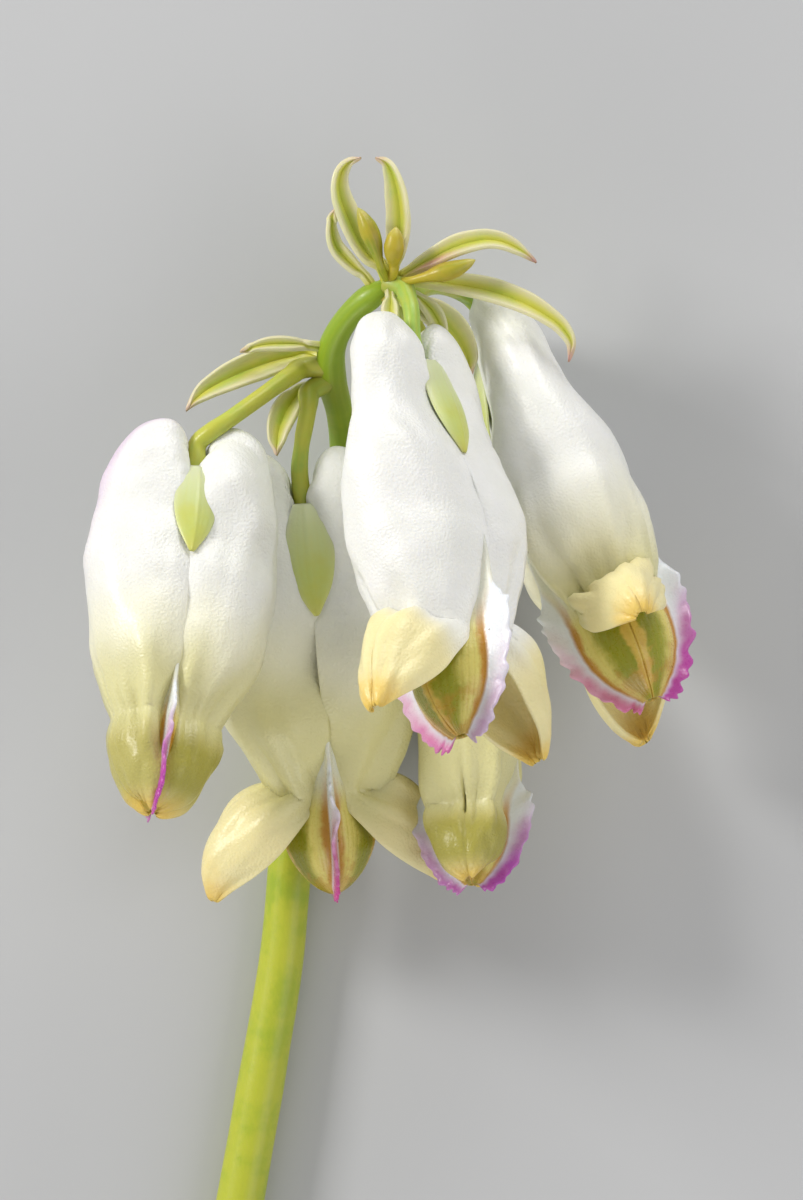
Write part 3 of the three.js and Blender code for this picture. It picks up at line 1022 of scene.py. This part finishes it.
        return skin


@dataclass
class InnerPetal:
    """A narrow claw that spreads to a hooded blade, with a wavy crest standing on its keel.

    The blade's stations are [y, z of the keel, half-width, how far the edges fall back], and the crest's are
    [y, z] of its free edge at the same places.
    """

    seed: int
    blush: float = 0.7
    rose: float = 0.3
    crest_scale: float = 1.0
    blade_scale: float = 1.0
    thickness: float = 0.24
    claw_rows: int = 26
    blade_rows: int = 96
    blade_columns: int = 13
    blade: tuple[Station, ...] = (
        (-0.5, 0.9, 0.3, 0.05), (-3.2, 1.5, 0.42, 0.3), (-6.5, 2.0, 0.6, 0.5), (-9.5, 2.2, 0.8, 0.9),
        (-12.0, 2.0, 1.05, 1.4), (-13.2, 1.95, 1.5, 1.9), (-14.3, 1.95, 1.95, 1.95),
        (-15.3, 1.8, 1.95, 1.8), (-16.35, 1.3, 1.45, 1.3), (-17.1, 0.65, 0.75, 0.65),
        (-17.45, 0.3, 0.12, 0.3),
    )
    crest: tuple[Station, ...] = (
        (-0.5, 0.95), (-3.2, 1.65), (-6.5, 2.2), (-9.5, 2.65), (-11.2, 2.85), (-12.1, 3.5), (-13.5, 3.5),
        (-15.1, 3.05), (-16.7, 2.25), (-17.7, 1.3), (-18.0, 0.6),
    )
    crest_profile: tuple[Station, ...] = (
        (0.3, 0.0), (0.19, 0.03), (0.135, 0.12), (0.11, 0.3), (0.1, 0.5), (0.09, 0.7), (0.08, 0.86),
        (0.06, 0.96), (0.02, 1.0),
    )
    flutter: float = 0.24
    scallop: float = 0.3
    crest_from: float = 0.28
    crest_root: float = 0.3
    edge_ripple: float = 0.03

    def rows(self) -> np.ndarray:
        """Places along the petal, closer together along the blade."""
        claw = np.linspace(0, self.crest_from, self.claw_rows, endpoint=False)
        return np.concatenate([claw, np.linspace(self.crest_from, 1, self.blade_rows)])

    def section(self, half: np.ndarray) -> tuple[np.ndarray, np.ndarray]:
        """The places across the petal: one edge of the blade, both faces of the crest, the other edge.

        Args:
            half: The blade's half-width at each row.

        Returns:
            The places across each row, and each column's share of the way up the crest.
        """
        profile_x, profile_up = np.array(self.crest_profile, float).T
        edge = np.cos(np.linspace(math.pi, 0.5 * math.pi, self.blade_columns, endpoint=False))
        shrink = np.minimum(1.0, half / 0.9)
        root = self.crest_root * shrink
        crest_x = np.concatenate([-profile_x, profile_x[::-1]])
        x = np.hstack([
            edge[None, :] * (half - root) - root,
            crest_x[None, :] * shrink,
            root - edge[None, ::-1] * (half - root),
        ])
        flat = np.zeros(self.blade_columns)
        return x, np.concatenate([flat, profile_up, profile_up[::-1], flat])[None, :]

    def skin(self, frame: FlowerFrame, face: Face) -> Skin:
        """Builds the petal's skin in place, blade and crest in one.

        Args:
            frame: The flower's frame.
            face: Which of the two inner petals it is.

        Returns:
            The skin, with the values that its finish reads.
        """
        rng = np.random.default_rng(self.seed)
        a = self.rows()
        line = spline(self.blade, a)
        half = self.blade_scale * line[:, 2:3]
        x, up = self.section(half)
        b = np.clip(x / half, -1, 1)
        y = line[:, :1] * np.ones_like(b)
        ripple = Ripple(rng, 2.0, 6.0).at(a[:, None]) * np.abs(b) ** 4
        z = line[:, 1:2] - line[:, 3:4] * b**2 + self.edge_ripple * ripple
        normals = grid_normals(np.stack([b * half, y, z], axis=-1))
        normals = np.where(normals[..., 2:] < 0, -normals, normals)

        fringe, waves, fold = Ripple(rng, 8.0, 26.0, 9), Ripple(rng, 2.5, 6.5, 6), Ripple(rng, 5.0, 11.0, 5)
        rise_y, rise_z = self.crest_scale * (spline(self.crest, a)[:, :2] - line[:, :2]).T
        full = smoothstep(0.35, 0.55, a)
        lobes = 1 + full * self.scallop * fringe.at(a) / np.maximum(np.hypot(rise_y, rise_z), 0.4)
        sway = full * self.flutter * (waves.at(a) + 0.6 * fold.at(a))
        lift = np.stack([
            sway[:, None] * up**1.8,
            rise_y[:, None] * up * lobes[:, None],
            rise_z[:, None] * up * lobes[:, None],
        ], axis=-1)
        smooth = np.stack([x, y, z], axis=-1)
        thick = rounded_thickness(np.full(b.shape, self.thickness), 3, 4)
        upper = smooth + normals * thick / 2 + lift * rounded_thickness(np.ones(b.shape), 3, 1)
        lower = smooth - normals * thick / 2

        tip = smoothstep(0.3, 0.95, a)[:, None]
        bottom = smoothstep(-12.4, -14.6, y)
        values = {
            "across": b,
            "length": -y / FLOWER_LENGTH,
            "crest": up * full[:, None],
            "blush": self.blush * np.clip(up * 1.3 - 0.2 + 0.4 * bottom, 0, 1) * (0.15 + 0.85 * bottom) * tip,
            "rose": np.full_like(b, self.rose),
        }
        skin = Skin()
        add_shell(skin, frame.placed(upper, face.value), frame.placed(lower, face.value), values)
        return skin


@dataclass
class Sepal:
    """A small pointed scale that lies against the flower. Its stations are [y, z, half-width]."""

    seed: int
    rows: int = 44
    columns: int = 25
    sink: float = 0.0
    thickness: float = 0.14
    curl: float = 0.3
    midrib: float = 0.06
    stations: tuple[Station, ...] = (
        (0.15, 1.0, 0.5), (-1.0, 1.68, 0.95), (-2.2, 2.08, 1.08), (-3.5, 2.36, 0.8), (-4.8, 2.46, 0.1),
    )

    def skin(self, frame: FlowerFrame, face: Face) -> Skin:
        """Builds the sepal's skin in place.

        Args:
            frame: The flower's frame.
            face: Which of the two sepals it is.

        Returns:
            The skin, with the values that its finish reads.
        """
        rng = np.random.default_rng(self.seed)
        a = np.linspace(0, 1, self.rows)
        b = np.sin(0.5 * math.pi * np.linspace(-1, 1, self.columns))[None, :]
        line = spline(self.stations, a)
        y = line[:, :1] * np.ones_like(b)
        half = line[:, 2:3]
        wave = 0.02 * Ripple(rng, 1.5, 4.0).at(a[:, None] + 0.3 * b) * np.abs(b) ** 2
        bed = line[:, 1:2] - self.sink * smoothstep(0.0, 0.3, a)[:, None]
        z = bed - self.curl * b**2 * half + self.midrib * hump(0, 0.12, b) + wave
        middle = np.stack([b * half, y, z], axis=-1)
        normals = grid_normals(middle)
        thick = rounded_thickness(np.full(y.shape, self.thickness), 3, 4)
        values = {
            "across": b * np.ones_like(y),
            "length": a[:, None] * np.ones_like(y),
            "tone": 0.1 + 0.6 * a[:, None] * np.ones_like(y),
            "pale": 0.55 * np.clip(1 - 1.6 * a[:, None], 0, 1) * np.ones_like(y) + 0.3 * np.abs(b) ** 4,
            "tinge": 0.35 * smoothstep(0.8, 1.0, a)[:, None] * np.ones_like(y),
        }
        skin = Skin()
        upper = frame.placed(middle + normals * thick / 2, face.value)
        lower = frame.placed(middle - normals * thick / 2, face.value)
        add_shell(skin, upper, lower, values)
        return skin


def tube_skin(
    route: Route,
    radii: np.ndarray,
    sides: int,
    ribs: RoundRibs,
    rib_depth: float,
    values: dict[str, np.ndarray],
) -> Skin:
    """Builds a stem or a stalk round its route.

    Args:
        route: The evenly spaced route.
        radii: The radius at each ring, in metres.
        sides: Vertices round each ring.
        ribs: Variation of the radius round a ring.
        rib_depth: The greatest share of the radius that a rib adds.
        values: Named values, one for each ring.

    Returns:
        The skin, with values that its finish reads.
    """
    angle = np.linspace(0, math.tau, sides, endpoint=False)[None, :]
    reach = radii[:, None] * (1 + rib_depth * ribs.at(np.round(angle / math.tau, 6)))
    grid = np.ones_like(reach)
    spread = {name: value[:, None] * grid for name, value in values.items()}
    spread["across"] = np.abs(angle / math.pi - 1) * grid
    skin = Skin()
    add_loft(skin, route.rings(angle, reach), spread)
    return skin


@dataclass
class Stem:
    """The main stem, cut at its foot and arched over at its head, with a swelling where things grow."""

    rows: int = 260
    sides: int = 32
    rib_depth: float = 0.008
    knuckle: float = 0.12
    knuckle_length: float = 0.9 * MM
    wobble: float = 0.02
    closing_rate: float = 40.0

    def build(self, route: Route, roots: np.ndarray, material: bpy.types.Material) -> bpy.types.Object:
        """Builds the stem.

        Args:
            route: Its route, from the cut end.
            roots: Where stalks, bracts and buds start.
            material: Its finish.

        Returns:
            The stem.
        """
        even = route.sampled(self.rows).untwisted()
        gaps = np.linalg.norm(even.centres[:, None, :] - roots[None, :, :], axis=2)
        crowd = np.exp(-((gaps / self.knuckle_length) ** 2)).sum(axis=1)
        swell = 1 + self.knuckle * np.tanh(0.5 * crowd)
        rng = np.random.default_rng(STEM_SEED)
        t = np.linspace(0, 1, self.rows)
        wobble = 1 + self.wobble * Ripple(rng, 2.0, 9.0).at(t)
        closing = np.sqrt(np.clip(1 - (1 - np.clip((1 - t) * self.closing_rate, 0, 1)) ** 2, 0.02, 1))
        values = {
            "length": t,
            "tone": 0.45 + 0.3 * np.sin(5 * t) - 0.35 * smoothstep(0.8, 1.0, t),
            "pale": 0.15 * np.exp(-t * 300),
            "tinge": 0.35 * np.tanh(0.3 * crowd) * (1 - smoothstep(0.86, 0.92, t)),
        }
        ribs = RoundRibs(rng, (5, 7, 11))
        radii = even.widths * swell * wobble * closing
        return tube_skin(even, radii, self.sides, ribs, self.rib_depth, values).piece("stem_skin", material)


@dataclass
class Stalk:
    """A flower's stalk, a little thicker where it leaves the stem and where it holds the flower."""

    tone: float
    rows: int = 70
    sides: int = 20
    rib_depth: float = 0.03
    foot_swell: float = 0.15
    flower_swell: float = 0.12

    def build(self, name: str, route: Route, material: bpy.types.Material) -> bpy.types.Object:
        """Builds the stalk along its route, from the stem out.

        Args:
            name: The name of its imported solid.
            route: Its route.
            material: Its finish.

        Returns:
            The stalk.
        """
        even = route.sampled(self.rows).untwisted()
        t = np.linspace(0, 1, self.rows)
        swell = 1 + self.flower_swell * hump(1.0, 0.07, t) + self.foot_swell * hump(0.0, 0.06, t)
        values = {
            "length": t,
            "tone": self.tone + 0.1 * np.sin(6 * t),
            "pale": np.full_like(t, 0.1),
            "tinge": 0.25 * hump(0.0, 0.08, t),
        }
        ribs = RoundRibs(np.random.default_rng(STALK_SEED), (2, 5))
        skin = tube_skin(even, even.widths * swell, self.sides, ribs, self.rib_depth, values)
        return skin.piece(f"{name}_skin", material)


@dataclass
class Bract:
    """A narrow channelled leaf with a pale margin."""

    seed: int
    rows: int = 64
    columns: int = 23
    thickness: float = 0.26 * MM
    channel: float = 0.5
    breadth: float = 1.3
    skyward: float = 0.7
    tinge_tip: float = 0.5
    blush_back: float = 0.0

    def build(self, name: str, route: Route, material: bpy.types.Material) -> bpy.types.Object:
        """Builds the bract along its route, from the stem out.

        Args:
            name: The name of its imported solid.
            route: Its route.
            material: Its finish.

        Returns:
            The bract.
        """
        rng = np.random.default_rng(self.seed)
        uppers = route.uppers * np.where(route.uppers[:, 2:] < 0, -1.0, 1.0)
        skyward = unit(uppers + self.skyward * np.array([0.0, 0.0, 1.0]))
        even = Route(route.centres, route.sides, skyward, route.widths).sampled(self.rows)
        t = np.linspace(0, 1, self.rows)[:, None]
        b = np.sin(0.5 * math.pi * np.linspace(-1, 1, self.columns))[None, :]
        taper = 1 - 0.75 * smoothstep(0.82, 1.0, t) ** 2
        half = self.breadth * even.widths[:, None] * taper
        wave = 0.1 * Ripple(rng, 1.0, 4.0).at(t + 0.2 * b) * np.abs(b) ** 2
        lift = half * (self.channel * (b**2 - 0.35) + wave - 0.12 * hump(0, 0.14, b))
        middle = (
            even.centres[:, None, :]
            + even.sides[:, None, :] * (half * b)[..., None]
            + even.uppers[:, None, :] * lift[..., None]
        )
        normals = grid_normals(middle)
        full = self.thickness * (0.6 + 0.4 * np.sqrt(np.clip(1 - t, 0, 1))) * np.ones_like(b)
        thick = rounded_thickness(full, 3, 4)
        grid = np.ones((self.rows, self.columns))
        blotch = 0.5 + 0.5 * Ripple(rng, 1.0, 3.0).at(t + 0.4 * b)
        tinge = self.tinge_tip * smoothstep(0.88, 1.0, t) * grid
        tinge += self.blush_back * hump(0.3, 0.16, t) * hump(0.7, 0.5, b)
        values = {
            "across": b * grid,
            "length": t * grid,
            "tone": (0.35 + 0.5 * blotch) * grid,
            "pale": 0.6 * smoothstep(0.2, 1.0, np.abs(b)) * smoothstep(0.05, 0.3, t),
            "tinge": np.clip(tinge, 0, 1),
        }
        skin = Skin()
        add_shell(skin, middle + normals * thick / 2, middle - normals * thick / 2, values)
        return skin.piece(f"{name}_skin", material)


@dataclass
class Bud:
    """A short stalk that swells into an unopened flower, with a seam down each side."""

    rows: int = 60
    sides: int = 28
    seam: float = 0.09
    tone: float = 0.5

    def build(self, name: str, route: Route, material: bpy.types.Material) -> bpy.types.Object:
        """Builds the bud along its route.

        Args:
            name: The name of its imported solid.
            route: Its route.
            material: Its finish.

        Returns:
            The bud.
        """
        even = route.sampled(self.rows).untwisted()
        t = np.linspace(0, 1, self.rows)
        angle = np.linspace(0, math.tau, self.sides, endpoint=False)[None, :]
        body = smoothstep(0.3, 0.5, t)[:, None]
        groove = 1 - self.seam * body * (hump(0, 0.3, np.sin(angle)) ** 2)
        closing = np.sqrt(np.clip(1 - np.clip((t - 0.93) / 0.07, 0, 1) ** 2, 0.01, 1))
        reach = (even.widths * closing)[:, None] * groove
        grid = np.ones_like(reach)
        values = {
            "across": np.sin(angle) * grid,
            "length": t[:, None] * grid,
            "tone": (self.tone + 0.3 * t[:, None]) * grid,
            "pale": 0.25 * smoothstep(0.85, 1.0, t)[:, None] * grid,
            "tinge": 0.35 * hump(0.62, 0.22, t)[:, None] * hump(0, 0.5, np.sin(angle)) * grid,
        }
        skin = Skin()
        add_loft(skin, even.rings(angle, reach), values)
        return skin.piece(f"{name}_skin", material)


# ---- the whole plant ----


@dataclass(frozen=True)
class FlowerLook:
    """How one flower differs from the others."""

    name: str
    open_left: float
    open_right: float
    ripe_from: float = 0.7
    top_width: float = 1.0
    lap: float = 0.0
    olive_left: float = 0.0
    olive_right: float = 0.0
    crest_scale: float = 1.0
    blade_scale: float = 1.0
    lip_left: float = 1.0
    sepal_sink: float = 0.0
    lilac_left: float = 0.0
    blush_front: float = 0.8
    blush_back: float = 0.8
    rose_front: float = 0.3
    rose_back: float = 0.3
    stalk_tone: float = 0.5

    def outer_petals(self, seed: int) -> list[tuple[Hand, OuterPetal]]:
        """The flower's two outer petals, the right one's lap turned against the left one's."""
        shared = {"ripe_from": self.ripe_from, "top_width": self.top_width}
        left = OuterPetal(
            self.open_left, seed, lilac=self.lilac_left, olive=self.olive_left, lap=self.lap,
            lip_scale=self.lip_left, **shared,
        )
        right = OuterPetal(self.open_right, seed + 1, olive=self.olive_right, lap=-0.8 * self.lap, **shared)
        return [(Hand.LEFT, left), (Hand.RIGHT, right)]

    def inner_petals(self, seed: int) -> list[tuple[Face, InnerPetal]]:
        """The flower's two inner petals."""
        shared = {"crest_scale": self.crest_scale, "blade_scale": self.blade_scale}
        front = InnerPetal(seed, blush=self.blush_front, rose=self.rose_front, **shared)
        back = InnerPetal(seed + 1, blush=self.blush_back, rose=self.rose_back, **shared)
        return [(Face.FRONT, front), (Face.BACK, back)]


FLOWERS = (
    FlowerLook(
        "front", 1.05, 1.0, ripe_from=0.98, top_width=0.78, lap=0.45, crest_scale=0.92, sepal_sink=0.32,
        blush_front=0.5, blush_back=0.8, rose_front=0.2, rose_back=0.7, stalk_tone=0.1,
    ),
    FlowerLook(
        "left", 0.0, 0.0, ripe_from=0.6, olive_left=0.75, olive_right=0.95, crest_scale=0.6,
        blade_scale=0.74, lilac_left=0.7, blush_front=1.2, stalk_tone=0.8,
    ),
    FlowerLook(
        "right", 1.3, 1.0, ripe_from=0.68, top_width=0.9, crest_scale=0.72, lip_left=0.76,
        sepal_sink=0.1, blush_front=1.2, rose_front=0.35, rose_back=1.0, stalk_tone=0.4,
    ),
    FlowerLook(
        "middle", 1.05, 1.0, ripe_from=0.48, top_width=0.95, crest_scale=0.65, blush_front=1.0,
        rose_front=0.7, rose_back=0.5, stalk_tone=0.7,
    ),
    FlowerLook(
        "rear", 0.2, 0.0, ripe_from=0.3, olive_left=0.9, olive_right=0.6, blade_scale=0.82,
        blush_front=1.1, rose_front=0.1, rose_back=0.2, stalk_tone=0.6,
    ),
)
BUD_TONES = {"top_bud_green": 0.2, "top_bud_golden": 0.7, "right_bud": 0.5}
LEAF_FINISHES = (
    LeafFinish(
        "sepal", green=(0.56, 0.66, 0.20), yellow=(0.58, 0.62, 0.12), margin=(0.78, 0.82, 0.66),
        tip=(0.66, 0.55, 0.10), lines=22.0, line_strength=0.2,
    ),
    LeafFinish(
        "stalk", green=(0.30, 0.48, 0.05), yellow=(0.50, 0.50, 0.03), margin=(0.70, 0.74, 0.40),
        tip=(0.44, 0.16, 0.03), lines=24.0,
    ),
    LeafFinish(
        "stem", green=(0.28, 0.42, 0.02), yellow=(0.50, 0.54, 0.04), margin=(0.66, 0.70, 0.34),
        tip=(0.50, 0.20, 0.06), lines=40.0, line_strength=0.12,
    ),
    LeafFinish(
        "bract", green=(0.40, 0.50, 0.05), yellow=(0.58, 0.56, 0.07), margin=(0.84, 0.77, 0.66),
        tip=(0.50, 0.16, 0.20), lines=14.0,
    ),
    LeafFinish(
        "bud", green=(0.26, 0.32, 0.02), yellow=(0.50, 0.40, 0.03), margin=(0.72, 0.68, 0.36),
        tip=(0.30, 0.12, 0.02), lines=16.0,
    ),
)


class Plant:
    """The whole flowering stem."""

    def __init__(self, nodes: dict[str, bpy.types.Object]) -> None:
        """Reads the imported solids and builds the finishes.

        Args:
            nodes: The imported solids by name.
        """
        self.nodes = nodes
        low = min(nodes["stem"].data.vertices, key=lambda vertex: vertex.co.y).co
        self.stem_route = Route.of(nodes["stem"], np.array(low))
        self.stem_line = self.stem_route.sampled(400)
        self.roots: list[np.ndarray] = []
        effects = Effects()
        self.outer = OuterPetalFinish().material(effects)
        self.inner = InnerPetalFinish().material(effects)
        made = [finish.material(effects) for finish in LEAF_FINISHES]
        self.sepal, self.stalk, self.stem, self.bract, self.bud = made

    def root_for(self, route: Route) -> np.ndarray:
        """The point inside the stem that a piece grows from."""
        root = self.stem_line.nearest(route.centres[0])
        self.roots.append(root)
        return root

    def grown(self, name: str) -> Route:
        """The route of a piece that grows on the stem, started inside the stem."""
        start = min(
            (np.array(vertex.co) for vertex in self.nodes[name].data.vertices),
            key=lambda point: np.linalg.norm(self.stem_line.centres - point, axis=1).min(),
        )
        route = Route.of(self.nodes[name], start)
        return route.rooted(self.root_for(route))

    def build_flower(self, look: FlowerLook, seed: int) -> None:
        """Builds one flower and its stalk.

        Args:
            look: How it differs from the others.
            seed: Seed of its random variation.
        """
        frame = FlowerFrame.of(self.nodes, look.name)
        for hand, petal in look.outer_petals(seed):
            node = f"{look.name}_flower_outer_petal_{hand.name.lower()}"
            place(petal.skin(frame, hand).piece(f"{node}_skin", self.outer), node, "outer_petal")
        for number, (face, inner) in enumerate(look.inner_petals(seed + 10)):
            node = f"{look.name}_flower_inner_petal_{face.name.lower()}"
            place(inner.skin(frame, face).piece(f"{node}_skin", self.inner), node, "inner_petal")
            node = f"{look.name}_flower_sepal_{face.name.lower()}"
            sepal = Sepal(seed + 20 + number, sink=look.sepal_sink)
            place(sepal.skin(frame, face).piece(f"{node}_skin", self.sepal), node, "sepal")
        node = f"{look.name}_flower_stalk"
        route = self.grown(node).ended(frame.placed(STALK_END))
        place(Stalk(look.stalk_tone).build(node, route, self.stalk), node, "stalk")

    def build(self) -> None:
        """Builds every piece, the stem last, because it swells where the others grow."""
        for number, look in enumerate(FLOWERS):
            self.build_flower(look, FLOWER_SEEDS * (number + 1))
        bracts = [name for name in self.nodes if "_bract_" in name]
        for number, name in enumerate(sorted(bracts)):
            bract = Bract(BRACT_SEEDS + number)
            if name == "right_bract_upper":
                bract.blush_back = 0.7
            if name.startswith("right_bract"):
                bract.tinge_tip = 0.8
            place(bract.build(name, self.grown(name), self.bract), name, "bract")
        for name, tone in BUD_TONES.items():
            place(Bud(tone=tone).build(name, self.grown(name), self.bud), name, "bud")
        place(Stem().build(self.stem_route, np.array(self.roots), self.stem), "stem", "stem")


# ---- the studio ----


def facing(way: np.ndarray) -> tuple[float, float, float]:
    """The turn that makes a light look along a direction."""
    flat = math.hypot(way[0], way[1])
    return (math.atan2(flat, -way[2]), 0.0, math.atan2(-way[0], way[1]))


@dataclass(frozen=True)
class Light:
    """A soft square light: where it hangs and its side, in metres, its power in watts and its colour."""

    name: str
    at: tuple[float, float, float]
    size: float
    power: float
    colour: Colour

    def add(self, target: np.ndarray) -> None:
        """Adds the light, facing a point."""
        data = bpy.data.lights.new(self.name, "AREA")
        data.size = self.size
        data.energy = self.power
        data.color = self.colour
        made = bpy.data.objects.new(self.name, data)
        made.location = self.at
        made.rotation_euler = facing(target - np.array(self.at))
        bpy.context.scene.collection.objects.link(made)


@dataclass
class Studio:
    """A pale table, soft lights and a camera that looks straight down."""

    view_middle: tuple[float, float] = (0.56 * MM, 11.13 * MM)
    camera_height: float = 280 * MM
    sharp_height: float = 12 * MM
    view_height: float = 54.7 * MM
    sensor: float = 36.0
    table_size: float = 4.0
    air: Colour = (0.93, 0.92, 0.90)
    air_strength: float = 0.38
    lights: tuple[Light, ...] = (
        Light("key", (-0.30, 0.16, 0.20), 0.10, 1.02, (1.0, 0.98, 0.94)),
        Light("fill", (0.28, -0.06, 0.24), 0.30, 0.42, (1.0, 0.98, 0.95)),
        Light("low", (-0.10, -0.34, 0.16), 0.20, 0.36, (1.0, 0.98, 0.95)),
        Light("back", (0.10, 0.34, 0.10), 0.16, 0.5, (1.0, 0.99, 0.97)),
    )

    def table(self) -> None:
        """Builds the table."""
        half = self.table_size / 2
        corners = [(-half, -half, 0), (half, -half, 0), (half, half, 0), (-half, half, 0)]
        mesh = bpy.data.meshes.new("table")
        mesh.from_pydata(corners, [], [(0, 1, 2, 3)])
        mesh.materials.append(TableFinish().material())
        made = bpy.data.objects.new("table", mesh)
        bpy.context.scene.collection.objects.link(made)

    def camera(self) -> None:
        """Adds the camera, looking straight down with the head of the stem at the top."""
        data = bpy.data.cameras.new("camera")
        data.sensor_fit = "VERTICAL"
        data.sensor_height = self.sensor
        data.lens = self.sensor * (self.camera_height - self.sharp_height) / self.view_height
        data.clip_start = 0.01
        data.clip_end = 20.0
        made = bpy.data.objects.new("camera", data)
        made.location = (*self.view_middle, self.camera_height)
        bpy.context.scene.collection.objects.link(made)
        bpy.context.scene.camera = made

    def build(self) -> None:
        """Builds the table, the lights, the air and the camera."""
        self.table()
        self.camera()
        for light in self.lights:
            light.add(np.array([*self.view_middle, self.sharp_height]))
        world = bpy.data.worlds.new("air")
        world.use_nodes = True
        background = world.node_tree.nodes["Background"]
        background.inputs["Color"].default_value = (*self.air, 1.0)
        background.inputs["Strength"].default_value = self.air_strength
        bpy.context.scene.world = world
        bpy.context.scene.view_settings.view_transform = "Standard"


def main() -> None:
    """Builds the studio and the plant."""
    logging.basicConfig(level=logging.INFO, format="%(name)s %(message)s")
    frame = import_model()
    Studio().build()
    Plant(frame["nodes"]).build()


if __name__ == "__main__":
    main()
